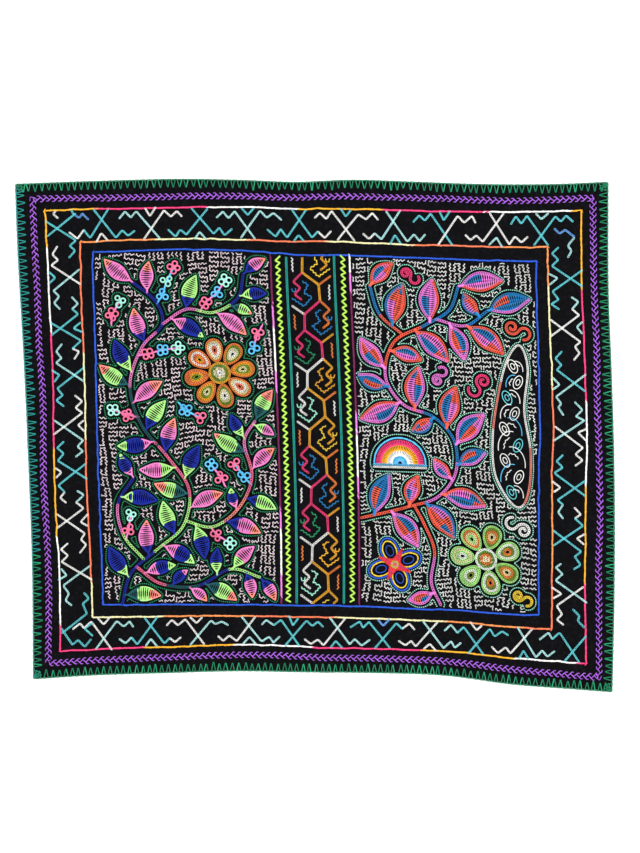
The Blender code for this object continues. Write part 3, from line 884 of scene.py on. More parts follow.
# Loose hooks near the corners, as dye and stops (u, v).
CORNER_HOOKS = (
    ("aqua", ((-283.5, 262.1), (-285.9, 267.5))),
    ("light_blue", ((-283.5, 262.1), (-276.4, 256.6), (-272.9, 262.1), (-265.8, 254.3))),
    ("white", ((-304.3, 266.7), (-307.3, 262.8), (-301.9, 257.5))),
    ("light_blue", ((287.0, 248.0), (293.4, 241.6), (299.8, 246.3), (310.8, 237.6))),
    ("pale_aqua", ((310.8, 236.6), (303.0, 227.3), (307.6, 221.0), (303.0, 213.2))),
    ("aqua", ((-316.0, -247.6), (-285.8, -225.5), (-290.8, -213.2), (-283.2, -207.2), (-289.1, -200.0))),
    ("aqua", ((-316.8, -241.5), (-303.3, -262.5), (-296.5, -256.9), (-288.4, -265.9), (-280.8, -257.0))),
    ("aqua", ((301.2, -206.2), (309.3, -213.6), (307.4, -219.7), (315.5, -227.1))),
)


def border_threads():
    """Each unit's legs and chevron in chain stitch; each second unit is turned over between the lines."""
    threads = Threads(tuple(LETTERS.values()), 31)
    width = sizes("lines", "chain")
    for side, units in BORDER.items():
        for index, unit in enumerate(units):
            for chart, mirror, letters in ((LEG, 1, unit.onward), (LEG, -1, unit.backward),
                                           (CHEVRON, 1, unit.chevron)):
                along, inward = np.array(chart).T
                along = unit.along + mirror * along
                inward = BORDER_DEPTH - inward if index % 2 else inward
                outer, inner = inset(OUTER_LINE, side, along), inset(INNER_LINE, side, along)
                clear = (along > BORDER_CLEAR) & (along < SIDES[side] - BORDER_CLEAR)
                stops = placed(side, along, outer + (inner - outer) * inward / BORDER_DEPTH)[clear]
                if len(stops) < 2 or not letters:
                    continue
                path = handmade(stops, threads.draw, 0.9)
                cut = len(path) - 2 if len(letters) > 1 else len(path)
                for letter, part in zip(letters, (path[:cut], path[cut - 1:])):
                    threads.chain(part, LETTERS[letter], width, 2.7, 0.35 if mirror == 1 else 0.0, loose=0.2)
    for name, stops in CORNER_HOOKS:
        threads.chain(stops, name, 2.8, 2.7)
    return threads


def handmade(stops, draw, amount):
    """The stops of a row, each off its place by a seeded draw of about amount."""
    return stops + draw.normal(0, amount, stops.shape)


# The band of stepped hexagons.

BAND_AXIS_U = -3.8
BAND_TEAL = 28.5
BAND_ZIGZAG = 38.6
BAND_EDGE = 47.0
BAND_PERIOD = 71.0
BAND_START = -236.0
# One half period, from the start of a flat of the main line and outward from it, as (along, outward).
FLAT_LEVEL = 10.0
FLAT_LENGTH = 19.7
HOOK = ((0.0, 0.0), (-11.5, 11.3), (-19.0, 2.6), (-27.2, 10.2), (-33.4, 2.0))
SPUR = ((19.6, -0.6), (29.8, 13.6))
WIGGLE = ((-32.0, 13.0), (-41.5, -0.6), (-30.6, -10.5), (-25.1, -1.2), (-15.1, -6.5), (-11.0, 0.2))
RIPPLE = ((1.0, 11.4), (19.0, 11.4))
SMALL_C = ((-20.0, 13.2), (-23.8, 12.2), (-23.4, 8.8), (-19.6, 8.4))

MAIN_DYES = ("gold", "gold", "white", "hot_pink", "hot_pink", "gold")
HOOK_DYES = ("hot_pink", "gold", "white", "gold", "hot_pink", "orange")
SPUR_DYES = ("white", "orange", "white", "gold", "white", "orange")
WIGGLE_DYES = ("sky", "yellow", "sea", "gold", "bottle", "sky")
RIPPLE_DYES = ("white", "orange", "orange", "white")
EDGE_RUNS = ((0.0, "plum"), (70.0, "violet"), (95.0, "white"), (150.0, "violet"), (178.0, "plum"))


def band_ends():
    """The band's lowest and highest v, just inside the line round the field."""
    low, high = (inset(FIELD_LINE, side, WIDTH / 2) + 2.5 for side in ("bottom", "top"))
    return low - DEPTH / 2, DEPTH / 2 - high


def in_band(along, outward, side):
    """A place in the band: up along it, and outward on its left (side 1) or right (side -1)."""
    return np.column_stack((BAND_AXIS_U - side * np.broadcast_to(outward, np.shape(along)), along))


def cut_to_band(path):
    """The part of a path that lies within the band's ends; it may be empty."""
    low, high = band_ends()
    path = spaced(path, 0.7)
    return path[(path[:, 1] > low) & (path[:, 1] < high)]


def waved(path, period, amount, draw):
    """A path with a small wave across it, as a fine couched thread lies."""
    path = spaced(path, 0.8)
    along = np.arange(len(path)) * 0.8 * 2 * np.pi / period + draw.uniform(0, 6)
    return beside(path, amount * np.sin(along))


def band_row_threads():
    """The band's straight rows: two teal, two stepped zigzags, two variegated rows at its edges."""
    threads = Threads(("teal", "lime", "plum", "violet", "white"), 41)
    low, high = band_ends()
    for side, start in ((1, 60.0), (-1, 190.0)):
        threads.chain(in_band((low, high), BAND_TEAL, side), "teal", 3.2, 2.9)
        row = in_band((low, high), BAND_EDGE, side)
        names = threads.mixed(len(spaced(row, 2.0)), 2.0, EDGE_RUNS, 250.0, start)
        threads.rope(row, names, 2.9, 2.0)
        along = np.arange(low + 1, high, 4.0)
        way = np.where(np.arange(len(along)) % 2, 1, -1)
        zigzag = in_band(along - 0.7 * way, BAND_ZIGZAG + 2.7 * way, side)
        threads.thread(handmade(zigzag, threads.draw, 0.25), 1.1, "lime", 0.2, 1.3)
    return threads


def band_figure_threads():
    """The stepped hexagons: a wave of flats and slopes, with a hook and a spur outward at each flat.

    Each chart is either chained, or laid as a fine waved thread.
    """
    dyes = tuple(dict.fromkeys(MAIN_DYES + HOOK_DYES + SPUR_DYES + WIGGLE_DYES + RIPPLE_DYES))
    threads = Threads(dyes, 42)
    for half in range(14):
        side = -1 if half % 2 else 1
        start = BAND_START + half * BAND_PERIOD / 2

        def charted(chart):
            along, outward = np.array(chart).T
            return in_band(start + along, FLAT_LEVEL + outward, side)

        line = np.vstack((charted(((0.0, 0.0), (FLAT_LENGTH, -0.8))),
                          in_band((start + BAND_PERIOD / 2,), FLAT_LEVEL, -side)))
        for row, names, width, height in ((line, MAIN_DYES, 3.2, 0.3), (charted(HOOK), HOOK_DYES, 2.9, 0.0),
                                          (charted(SPUR), SPUR_DYES, 2.9, 0.0)):
            kept = cut_to_band(row)
            if len(kept) > 4:
                threads.chain(kept, names[half % len(names)], width, 2.9, height)
        for chart, names, period, amount in ((WIGGLE, WIGGLE_DYES, 4.6, 0.9), (RIPPLE, RIPPLE_DYES, 4.6, 1.0),
                                             (SMALL_C, WIGGLE_DYES, 9.0, 0.1)):
            kept = cut_to_band(charted(chart))
            if len(kept) > 4:
                wave = waved(kept, period, amount, threads.draw)
                threads.thread(wave, 0.55, names[half % len(names)], 0.0, 0.8)
    return threads


# The ground of a field.

GRID = 0.6
REACH = 9.0
FIELD_MARGIN = 4.0
# A growing motif keeps this far from the others, but for the part nearer than ROOT to its own stem.
APART = 6.0
ROOT = 17.0


def field_box(field):
    """The box that holds a field: its left, right, bottom and top."""
    left, right, low, high = (min(value for along, value in getattr(FIELD_LINE, side))
                              for side in ("left", "right", "bottom", "top"))
    ends = (left - WIDTH / 2, BAND_AXIS_U - BAND_EDGE) if field == "left" else \
        (BAND_AXIS_U + BAND_EDGE, WIDTH / 2 - right)
    return (*ends, low - DEPTH / 2, DEPTH / 2 - high)


def inside(u, v, outline):
    """Whether places lie inside an outline: an odd number of its sides lie to their right."""
    odd = np.zeros(u.shape, dtype=bool)
    for (u0, v0), (u1, v1) in zip(outline, np.roll(outline, -1, axis=0)):
        crosses = (v0 > v) != (v1 > v)
        if crosses.any():
            odd ^= crosses & (u < (u1 - u0) * (v - v0) / (v1 - v0 + (v1 == v0)) + u0)
    return odd


class Ground:
    """One field's ground, as a grid that holds how far each place is from the nearest motif, up to REACH."""

    def __init__(self, field):
        self.field = field
        self.box = field_box(field)
        left, right, low, high = self.box
        self.us, self.vs = np.arange(left, right, GRID), np.arange(low, high, GRID)
        self.distance = np.full((len(self.vs), len(self.us)), REACH)

    def take(self, outline):
        """Gives an outline's area to a motif.

        The distance along each grid row comes first, from the nearest taken place to the left and the
        right; the least over the rows above and below of the root of its square plus theirs is the
        distance. Only the part of the grid within REACH of the outline is worked out.
        """
        (u0, v0), (u1, v1) = outline.min(axis=0) - REACH, outline.max(axis=0) + REACH
        rows = slice(*np.searchsorted(self.vs, (v0, v1)))
        columns = slice(*np.searchsorted(self.us, (u0, u1)))
        u, v = np.meshgrid(self.us[columns], self.vs[rows])
        taken = inside(u, v, outline)
        if not taken.any():
            return
        place, far = np.arange(taken.shape[1]), 10**4
        before = np.maximum.accumulate(np.where(taken, place, -far), axis=1)
        after = np.minimum.accumulate(np.where(taken, place, far)[:, ::-1], axis=1)[:, ::-1]
        flat = np.minimum(place - before, after - place).astype(float) ** 2
        best = flat.copy()
        for step in range(1, min(round(REACH / GRID), len(flat) - 1) + 1):
            best[step:] = np.minimum(best[step:], flat[:-step] + step**2)
            best[:-step] = np.minimum(best[:-step], flat[step:] + step**2)
        self.distance[rows, columns] = np.minimum(self.distance[rows, columns], np.sqrt(best) * GRID)

    def at(self, points):
        """The distance from each place to the nearest motif."""
        columns, rows = (np.clip(np.round((place - axis[0]) / GRID).astype(int), 0, len(axis) - 1)
                         for place, axis in zip(points.T, (self.us, self.vs)))
        return self.distance[rows, columns]

    def framed(self, points, margin):
        """Whether places lie inside the field by a margin."""
        along, rise = points.T + np.array([[WIDTH / 2], [DEPTH / 2]])
        left, right = self.box[0] + WIDTH / 2, self.box[1] + WIDTH / 2
        if self.field == "left":
            left = inset(FIELD_LINE, "left", rise)
        else:
            right = WIDTH - inset(FIELD_LINE, "right", rise)
        low = inset(FIELD_LINE, "bottom", along)
        high = DEPTH - inset(FIELD_LINE, "top", along)
        level = (along > left + margin) & (along < right - margin)
        return level & (rise > low + margin) & (rise < high - margin)

    def contours(self, level):
        """The lines on which the distance has one value, as chains of places.

        Each grid cell that the level cuts gives one short line between two of its sides, found by the
        share of the way at which the value passes the level; lines that share a side are joined.
        """
        values = self.distance - level
        above = values > 0
        side_at = {}
        for kind, (us, vs) in enumerate(((GRID, 0.0), (0.0, GRID))):
            a, b = (values[:, :-1], values[:, 1:]) if kind == 0 else (values[:-1], values[1:])
            found = np.argwhere((a > 0) != (b > 0))
            first, second = a[tuple(found.T)], b[tuple(found.T)]
            share = first / (first - second)
            places = np.column_stack((self.us[found[:, 1]] + share * us, self.vs[found[:, 0]] + share * vs))
            side_at.update(((kind, *cell), place) for cell, place in zip(found.tolist(), places.tolist()))
        links = {key: [] for key in side_at}
        cells = above[:-1, :-1].astype(int) + above[1:, :-1] + above[:-1, 1:] + above[1:, 1:]
        for row, column in np.argwhere((cells > 0) & (cells < 4)).tolist():
            around_cell = (0, row, column), (1, row, column + 1), (0, row + 1, column), (1, row, column)
            keys = [key for key in around_cell if key in links]
            for one, other in zip(keys[::2], keys[1::2]):
                links[one].append(other)
                links[other].append(one)
        lines = []
        while links:
            key = next((key for key, ends in links.items() if len(ends) == 1), next(iter(links)))
            line = []
            while key is not None:
                line.append(side_at[key])
                key = next((other for other in links.pop(key) if other in links), None)
            lines.append(np.array(line))
        return lines


# The motifs of the field.

# A stem through its stops (u, v), with the dyes that it changes through.
Stem = namedtuple("Stem", "stops dyes")
# A leaf or a spray of ring flowers from its foot, with its way in degrees.
Leaf = namedtuple("Leaf", "u v turn length width dyes")
Spray = namedtuple("Spray", "u v turn dyes")
Curl = namedtuple("Curl", "u v turn radius hand dye")
Round = namedtuple("Round", "u v radius petals turn dyes")

STEMS = {
    "left": (
        Stem(((-243, -216), (-232, -178), (-200, -150), (-168, -122), (-160, -78), (-184, -38),
              (-214, 2), (-226, 50), (-210, 96), (-184, 124), (-190, 152), (-216, 176)),
             ("deep_blue", "light_green", "rose", "dark_teal", "leaf_pink", "deep_blue")),
        Stem(((-166, -116), (-132, -124), (-100, -100), (-84, -62), (-92, -20), (-78, 6)),
             ("light_green", "salmon", "rose", "leaf_pink")),
        Stem(((-184, 124), (-154, 142), (-122, 138), (-92, 156), (-84, 186)),
             ("leaf_pink", "light_green", "deep_blue")),
        Stem(((-226, -170), (-196, -192), (-152, -196), (-112, -176), (-76, -186)),
             ("rose", "dark_teal", "deep_blue", "light_green")),
        Stem(((-216, -162), (-240, -132), (-246, -94), (-226, -62)),
             ("light_green", "leaf_pink", "deep_blue")),
    ),
    "right": (
        Stem(((45.5, -112), (78, -104), (106, -96), (138, -84), (160, -54), (160, -14), (136, 14), (100, 28),
              (80, 62), (92, 104), (130, 126), (160, 146), (172, 176)),
             ("coral", "violet", "sky", "violet", "coral", "sky")),
        Stem(((102, 114), (76, 138), (66, 172)), ("coral", "sky")),
        Stem(((142, -216), (130, -188), (134, -150), (122, -118), (110, -95)), ("violet", "coral")),
        Stem(((143, 134), (178, 128), (206, 148)), ("violet", "sky")),
    ),
}

# The small leaves' dyes from base to tip, and the large leaves' dyes: the outline's two sides, then the
# rungs of the upper and the lower half.
LEAF_DYES = {
    "left": (
        ("deep_blue", "deep_blue", "leaf_pink"), ("leaf_pink", "leaf_pink", "salmon"),
        ("dark_teal", "light_green", "salmon"), ("light_green", "deep_blue", "deep_blue"),
        ("light_green", "leaf_pink", "leaf_pink"), ("deep_blue", "leaf_pink", "salmon"),
        ("leaf_pink", "deep_blue", "light_green"), ("deep_blue", "light_green", "light_green"),
    ),
    "right": (
        ("coral", "violet", "violet", "sky"), ("violet", "coral", "sky", "violet"),
        ("sky", "violet", "coral", "sky"), ("violet", "violet", "sky", "coral"),
        ("coral", "coral", "sky", "violet"), ("sky", "coral", "violet", "coral"),
    ),
}
# How far two dyes of a leaf run into one another, as a share of its length, and how thick its rungs are.
BLEND = 0.03
RUNG_THREAD = 2.0
LEAF_SIZES = {"left": (40.0, 18.5), "right": (49.0, 25.0)}
LEAF_EVERY = {"left": 19.0, "right": 22.0}
LEANS = (55, 68, 42, 82)
SPRAY_DYES = (
    ("rose", "bright_aqua", "mint"), ("mint", "rose", "bright_aqua"), ("bright_aqua", "rose"),
    ("rose", "mint"), ("bright_aqua", "mint", "rose"),
)
SMALL_SPRAY = ("rose", "bright_aqua")
CURL_DYES = ("hot_pink", "white", "coral", "yellow", "violet", "hot_pink")
# How a leaf or spray may lean at a stem's end, which share of its full length a leaf may have, and how
# often a spray takes a leaf's turn.
END_LEANS = (0, 20, -20, 40, -40, 60, -60)
LEAF_SHARES = (1.0, 0.86, 0.72, 0.58)
SPRAY_EVERY = 4
# How often a free motif is tried in a field, and how often of that in its larger size.
ATTEMPTS = 1500
LARGE_ATTEMPTS = {"left": 900, "right": 800}
GROWTH_SEEDS = {"left": 91, "right": 96}

ROUNDS = {
    "left": Round(-118, 64, 43, 8, 10, ("orange", "gold", "olive", "cream", "white", "flame")),
    "right": Round(196, -154, 43, 7, 24, ("light_green", "white", "olive", "orange", "cream", "light_green")),
}

# The dark flower with edged petals, the arch of rungs and the dark pod, all on the right.
DARK_FLOWER = (86.0, -168.0)
DARK_PETALS = (20.0, 110.0, 200.0, 290.0)
ARCH = (94.0, -44.0)
ARCH_BANDS = ((9.5, "bright_aqua"), (16.0, "white"), (22.5, "gold"), (29.0, "hot_pink"))
POD = ((226, -82), (208, -50), (206, -5), (214, 45), (226, 88), (242, 108), (251, 80), (245, 30),
       (251, -18), (249, -62), (240, -86))
POD_RUNS = ((0, "white"), (90, "salmon"), (150, "white"), (330, "salmon"), (400, "white"))


def dyes_of(motifs):
    """All the dyes of some motifs, each once, in the order in which they come."""
    return tuple(dict.fromkeys(name for motif in motifs for name in motif.dyes))


def grown(path, motif):
    """A path drawn from zero to the right, brought to a motif's foot and turned its way."""
    return turned(path, motif.turn) + (motif.u, motif.v)


def leaf_sides(leaf, shrink=0.0):
    """A leaf's two sides and its slightly bent rib from base to tip, with a place for each rung.

    Half the width at a share t of the length is the half width times sin(pi t ** 0.95) ** 1.05.
    """
    share = np.linspace(0, 1, max(8, round(leaf.length / sizes("field", "rung"))))
    rib = np.column_stack((4 + share * leaf.length, np.sin(np.pi * share) * leaf.width * 0.10))
    half = (leaf.width / 2 - shrink) * np.sin(np.pi * share**0.95) ** 1.05
    return [grown(path, leaf) for path in (beside(rib, half), beside(rib, -half), rib)]


def leaf_outlines(leaf):
    """The ground a leaf takes: its two sides, from its foot."""
    left, right, rib = leaf_sides(leaf)
    return [np.vstack(([(leaf.u, leaf.v)], left, right[::-1]))]


def ring_places(spray):
    """A spray's stalk and the middles of its rings, in clusters along the stalk, with each ring's dye.

    Each cluster is turned and strays to one side by a draw that the spray's own place seeds.
    """
    draw = np.random.default_rng(round(abs(31 * spray.u + 17 * spray.v + spray.turn)))
    spokes = circle(4.5, 1.0)[::-1]
    rings, stalk = [], [np.zeros(2)]
    for index, name in enumerate(spray.dyes):
        middle = np.array([12.0 + 18.5 * index, draw.uniform(-3.0, 3.0)])
        count = draw.integers(3, 5)
        start = draw.integers(0, len(spokes))
        for spoke in range(count):
            place = spokes[(start + len(spokes) * spoke // count) % len(spokes)] + middle
            rings.append((grown([place + draw.normal(0, 0.35, 2)], spray)[0], name))
        stalk.append(middle)
    return grown(stalk, spray), rings


def spray_outlines(spray):
    """The ground a spray takes: its stalk and its rings."""
    stalk, rings = ring_places(spray)
    stalk_sides = np.vstack((beside(stalk, 1.6), beside(stalk, -1.6)[::-1]))
    return [stalk_sides] + [circle(4.0, 1.2) + place for place, name in rings]


def spiral(curl):
    """A curl: a turn and a half from its eye out, then a tail that bends the other way into a hook."""
    share = np.linspace(0, 1, 60)
    angle = np.radians(curl.turn) + curl.hand * share * 1.45 * 2 * np.pi
    eye = np.column_stack((np.cos(angle), np.sin(angle))) * (curl.radius * (0.24 + 0.76 * share))[:, None]
    ahead = np.degrees(np.arctan2(*heading(eye)[-1][::-1]))
    hook = circle(curl.radius * 0.8, 1.0, 0.0, 250.0) - (curl.radius * 0.8, 0.0)
    hook = turned(hook * (1, curl.hand) * (-1, 1), ahead - curl.hand * 90)
    return np.vstack((eye, eye[-1] + hook[2:])) + (curl.u, curl.v)


def curl_outlines(curl):
    """The ground a curl takes: its row and its eye."""
    path = spiral(curl)
    return [np.vstack((beside(path, 2.0), beside(path, -2.0)[::-1])),
            circle(curl.radius * 0.9, 1.5) + (curl.u, curl.v)]


def petal(flower, index, share=1.0):
    """One petal's outline: a rounded drop from the flower's eye to its radius, shrunk to a share."""
    reach, eye = flower.radius, flower.radius * 0.30
    middle = (reach + eye) / 2
    half = np.pi * middle / flower.petals * 1.12
    angle = np.linspace(0, 2 * np.pi, 40, endpoint=False)
    drop = np.column_stack((middle + (reach - eye) / 2 * np.cos(angle) * share,
                            half * np.sin(angle) * (0.78 + 0.22 * np.cos(angle)) * share))
    return turned(drop, flower.turn + 360 * index / flower.petals) + (flower.u, flower.v)


def dark_petal(angle):
    """One oval petal of the dark flower."""
    oval = circle(1.0, 0.16) * (15.5, 10.5) + (17.5, 0.0)
    return turned(oval, angle) + DARK_FLOWER


def arch_outline():
    """The arch's outline: half a disc that stands on its straight side."""
    radius = ARCH_BANDS[-1][0] + 3.4
    return np.vstack((circle(radius, 1.5, -8, 196), [(-radius * 0.9, -7.5), (radius * 0.9, -7.5)])) + ARCH


def standing(field):
    """The outlines of what has its place in the chart: the stems in short lengths, and the great motifs."""
    half = sizes("field", "stem") / 2
    for stem in STEMS[field]:
        path = curve(stem.stops)
        left, right = beside(path, half), beside(path, -half)
        for at in range(0, len(path) - 1, 12):
            yield np.vstack((left[at:at + 14], right[at:at + 14][::-1]))
    for index in range(ROUNDS[field].petals):
        yield petal(ROUNDS[field], index)
    if field == "right":
        for angle in DARK_PETALS:
            yield dark_petal(angle)
        yield circle(15.0, 1.5) + DARK_FLOWER
        yield arch_outline()
        yield curve(POD, 1.5, True)


Growth = namedtuple("Growth", "ground leaves sprays curls")


def settled(ground, candidates, outlines, root=0.0):
    """The first candidate with room among the motifs so far, which takes its ground; None if none has."""
    for candidate in candidates:
        parts = outlines(candidate)
        points = np.vstack(parts)
        points = points[np.linalg.norm(points - (candidate.u, candidate.v), axis=1) >= root]
        if ground.at(points).min() > APART and ground.framed(points, FIELD_MARGIN).all():
            for part in parts:
                ground.take(part)
            return candidate
    return None


def grow(field):
    """One field's growth: leaves and sprays by turns along the stems, then free motifs, if there is room."""
    ground = Ground(field)
    for outline in standing(field):
        ground.take(outline)
    draw = np.random.default_rng(GROWTH_SEEDS[field])
    growth = Growth(ground, [], [], [])

    def try_all(kept, candidates, outlines, root=0.0):
        motif = settled(ground, candidates, outlines, root)
        kept.extend([motif] if motif else [])
        return motif

    length, width = LEAF_SIZES[field]
    turn = 0
    for stem in STEMS[field]:
        path = curve(stem.stops)
        ways = np.degrees(np.arctan2(*heading(path).T[::-1]))
        places = [(len(path) - 1, END_LEANS)]
        for index, at in enumerate(np.arange(0.7, len(path) / LEAF_EVERY[field] - 0.4)):
            side = 1 if index % 2 else -1
            leans = [way * lean for way in (side, -side) for lean in LEANS]
            places.append((round(at * LEAF_EVERY[field] + draw.uniform(-2, 2)), leans))
        for at, leans in places:
            turn += 1
            feet = [(*path[at], ways[at] + lean) for lean in leans]
            if field == "left" and turn % SPRAY_EVERY == 0:
                names = SPRAY_DYES[turn % len(SPRAY_DYES)], SPRAY_DYES[3]
                sprays = [Spray(*foot, dyes) for dyes in names for foot in feet]
                if try_all(growth.sprays, sprays, spray_outlines, ROOT):
                    continue
            dyes = LEAF_DYES[field][turn % len(LEAF_DYES[field])]
            leaves = [Leaf(*foot, length * share, width * share**0.7, dyes)
                      for share in LEAF_SHARES for foot in feet]
            try_all(growth.leaves, leaves, leaf_outlines, ROOT)
    left, right, low, high = ground.box
    for attempt in range(ATTEMPTS):
        foot = draw.uniform(left, right), draw.uniform(low, high), draw.uniform(0, 360)
        small = attempt >= LARGE_ATTEMPTS[field]
        if field == "left":
            dyes = SMALL_SPRAY if small else SPRAY_DYES[len(growth.sprays) % len(SPRAY_DYES)]
            try_all(growth.sprays, [Spray(*foot, dyes)], spray_outlines)
        else:
            dyed = CURL_DYES[len(growth.curls) % len(CURL_DYES)]
            curl = Curl(*foot, 7.0 if small else 9.0, 1 if attempt % 2 else -1, dyed)
            try_all(growth.curls, [curl], curl_outlines)
    return growth


def stem_threads(field, seed):
    """The stems in wide chain stitch, each changing its dye along its way."""
    threads = Threads(dyes_of(STEMS[field]), seed)
    width, pitch = sizes("field", "stem"), 3.1
    for stem in STEMS[field]:
        path = curve(stem.stops)
        count = len(spaced(path, pitch)) - 1
        run = count * pitch / len(stem.dyes)
        names = threads.mixed(count, pitch, [(index * run, dyed) for index, dyed in enumerate(stem.dyes)])
        threads.chain(path, names, width, pitch, 0.5)
    return threads


def small_leaf_threads(leaves, seed):
    """Small leaves: rungs that thin out at the rib between two fat sides, in three dyes that blend."""
    threads = Threads(dyes_of(leaves), seed)
    for leaf in leaves:
        left, right, rib = leaf_sides(leaf, 0.9)
        share = np.linspace(0, 1, len(rib))
        changes = threads.draw.uniform((0.2, 0.66), (0.36, 0.86))
        blend = threads.draw.normal(0, BLEND, len(share))
        names = np.array(leaf.dyes)[np.searchsorted(changes, share + blend)]
        slant = threads.draw.normal(0, 0.25, (len(rib) - 2, 2))
        threads.bars(left[1:-1] + slant, right[1:-1] - slant, names[1:-1], RUNG_THREAD, 0.5)
        cuts = np.searchsorted(share, (0.0, *changes, 1.0))
        for side in (left, right):
            for first, last, dyed in zip(cuts[:-1], cuts[1:], leaf.dyes):
                threads.thread(side[first:last + 1], 0.95, dyed, 0.3, 1.9)
        threads.thread(np.vstack(([(leaf.u, leaf.v)], rib[:2])), 1.1, leaf.dyes[0], 0.2)
    return threads


def large_leaf_threads(leaves, seed):
    """Large leaves: a chained outline, two ladders of rungs from rim to rib, and a change of dye."""
    threads = Threads(dyes_of(leaves), seed)
    for leaf in leaves:
        left, right, rib = leaf_sides(leaf, 1.9)
        outline_left, outline_right, upper, lower = leaf.dyes
        share = np.linspace(0, 1, len(rib))
        for side, dyed, later in ((left, upper, lower), (right, lower, outline_left)):
            change = threads.draw.uniform(0.5, 0.8) + threads.draw.normal(0, BLEND, len(rib))
            names = np.where(share < change, dyed, later)[2:-2]
            rim, middle = (rib * 0.12 + side * 0.88)[2:-2], (rib * 0.93 + side * 0.07)[2:-2]
            threads.bars(rim, middle, names, RUNG_THREAD, 0.54)
        for side, dyed in ((left, outline_left), (right, outline_right)):
            threads.chain(side, dyed, 4.0, 2.7, 0.3)
        threads.thread(np.vstack(([(leaf.u, leaf.v)], rib[:2])), 1.7, outline_left, 0.2)
    return threads


def ring_threads(sprays, seed):
    """Ring flowers: small rings of one fat thread, in clusters joined by a short stalk."""
    threads = Threads(("rose", "mint", "bright_aqua", "leaf_pink"), seed)
    for spray in sprays:
        stalk, rings = ring_places(spray)
        threads.rope(stalk, "leaf_pink" if spray.dyes[0] == "rose" else spray.dyes[0], 3.0, 1.8)
        for place, name in rings:
            threads.tubes(circle(threads.draw.uniform(2.7, 3.3), 1.6) + place, 1.0, name, 0.4, 4, True)
    return threads


def round_flower_threads(field, seed):
    """Round flowers: petals of chain rows one inside the next, and a ringed eye."""
    flower = ROUNDS[field]
    threads = Threads(dyes_of((flower,)), seed)
    first, *others = flower.dyes
    across = flower.radius * 0.35
    for index in range(flower.petals):
        for row, share in enumerate(np.arange(1.0 - 1.5 / across, 0.12, -3.1 / across)):
            dyed = others[(index + row - 1) % len(others)] if row else first
            threads.chain(petal(flower, index, share), dyed, 3.0, 2.7, 0.1, True)
    for row, radius in enumerate(np.arange(flower.radius * 0.28, 1.0, -3.1)):
        ring = circle(radius, 2.7) + (flower.u, flower.v)
        threads.chain(ring, flower.dyes[(row + 1) % len(flower.dyes)], 3.0, 2.7, 0.3, True)
    return threads


def curl_threads(curls, seed):
    """Curls in fat chain stitch."""
    threads = Threads(tuple(dict.fromkeys(curl.dye for curl in curls)), seed)
    for curl in curls:
        threads.chain(spiral(curl), curl.dye, 3.8, 2.7)
    return threads


def dark_flower_threads(seed):
    """The dark flower: bare black petals with a yellow and a blue edge, red bracts and a ringed eye."""
    threads = Threads(("yellow", "royal", "red", "coral", "gold"), seed)
    for angle in DARK_PETALS:
        outline = dark_petal(angle)
        threads.rope(outline, "royal", 2.6, 1.9, 0.1, True)
        middle = outline.mean(axis=0)
        threads.rope(middle + (outline - middle) * 0.78, "yellow", 2.0, 1.8, 0.1, True)
        threads.thread(middle + (outline - middle) * 0.42, 0.5, "royal", 0.0, 1.2, True)
        share = np.linspace(0, 1, 8)[:, None]
        base = turned([(6, -4.5), (6, 4.5), (23, 0)], angle + 45) + DARK_FLOWER
        threads.bars(base[:1] * (1 - share) + base[2:] * share, base[1:2] * (1 - share) + base[2:] * share,
                     "red", 2.2, 0.8, 0.3)
    for radius, name in ((6.4, "red"), (3.8, "yellow"), (1.6, "coral")):
        threads.chain(circle(radius, 2.2) + DARK_FLOWER, name, 2.7, 2.2, 0.5, True)
    return threads


def arch_threads(seed):
    """The arch: half rings of spoke-like rungs between ropes, each ring in its own dye, on a chained foot."""
    threads = Threads(("bright_aqua", "white", "gold", "hot_pink", "light_blue"), seed)
    for inner, (radius, name) in zip((3.0, 9.5, 16.0, 22.5), ARCH_BANDS):
        spokes = circle(1.0, 2.3 / radius, 0, 180)
        threads.bars(spokes * (inner + 0.9) + ARCH, spokes * (radius - 0.6) + ARCH, name, 1.5, 0.8)
    for radius, name in ((3.0, "light_blue"), (9.5, "white"), (16.0, "gold"), (22.5, "hot_pink"),
                         (30.8, "bright_aqua")):
        threads.rope(circle(radius, 1.5, 0, 180) + ARCH, name, 2.6, 1.8, 0.3)
    for drop, name in ((2.0, "bright_aqua"), (5.0, "white")):
        threads.chain(np.array([(-32.0, -drop), (32.0, -drop)]) + ARCH, name, 3.0, 2.7)
    return threads


def pod_threads(seed):
    """The dark pod: a chained rim, and thin arcs, ovals and small curls on the bare cloth inside."""
    threads = Threads(("white", "salmon", "aqua", "bright_aqua"), seed)
    rim = curve(POD, 1.0, True)
    count = len(spaced(rim, 2.8, True))
    names = threads.mixed(count, 2.8, POD_RUNS)
    threads.chain(rim, names, 3.0, 2.8, 0.0, True)
    for step, v in enumerate(np.arange(-70, 84, 19.0)):
        across = rim[np.abs(rim[:, 1] - v) < 1.2][:, 0]
        middle, half = (across.min() + across.max()) / 2, (across.max() - across.min()) / 2 - 5
        hand = 1 if step % 2 else -1
        name = "white" if step % 3 else "aqua"
        oval = turned(circle(1.0, 0.3) * (5.0, 8.5), -25 * hand) + (middle + hand * half * 0.45, v)
        threads.thread(oval, 0.5, name, 0.0, 1.2, True)
        threads.thread((oval - oval.mean(axis=0)) * 0.45 + oval.mean(axis=0), 0.45, name, 0.0, 1.0)
        arc = circle(half * 0.9, 1.5, 90 - 10 * hand, 110 * hand) * (1.0, 1.3) + (middle, v - 4)
        threads.thread(arc, 0.5, "bright_aqua" if step % 3 == 1 else "white", 0.0, 1.2)
        wave = circle(half * 0.5, 1.5, 110 - 10 * hand, 90 * hand) * (1.0, 1.3) + (middle, v - 3)
        threads.thread(waved(wave, 5.0, 0.7, threads.draw), 0.45, "white", 0.0, 0.9)
    return threads


# The filling between the motifs.


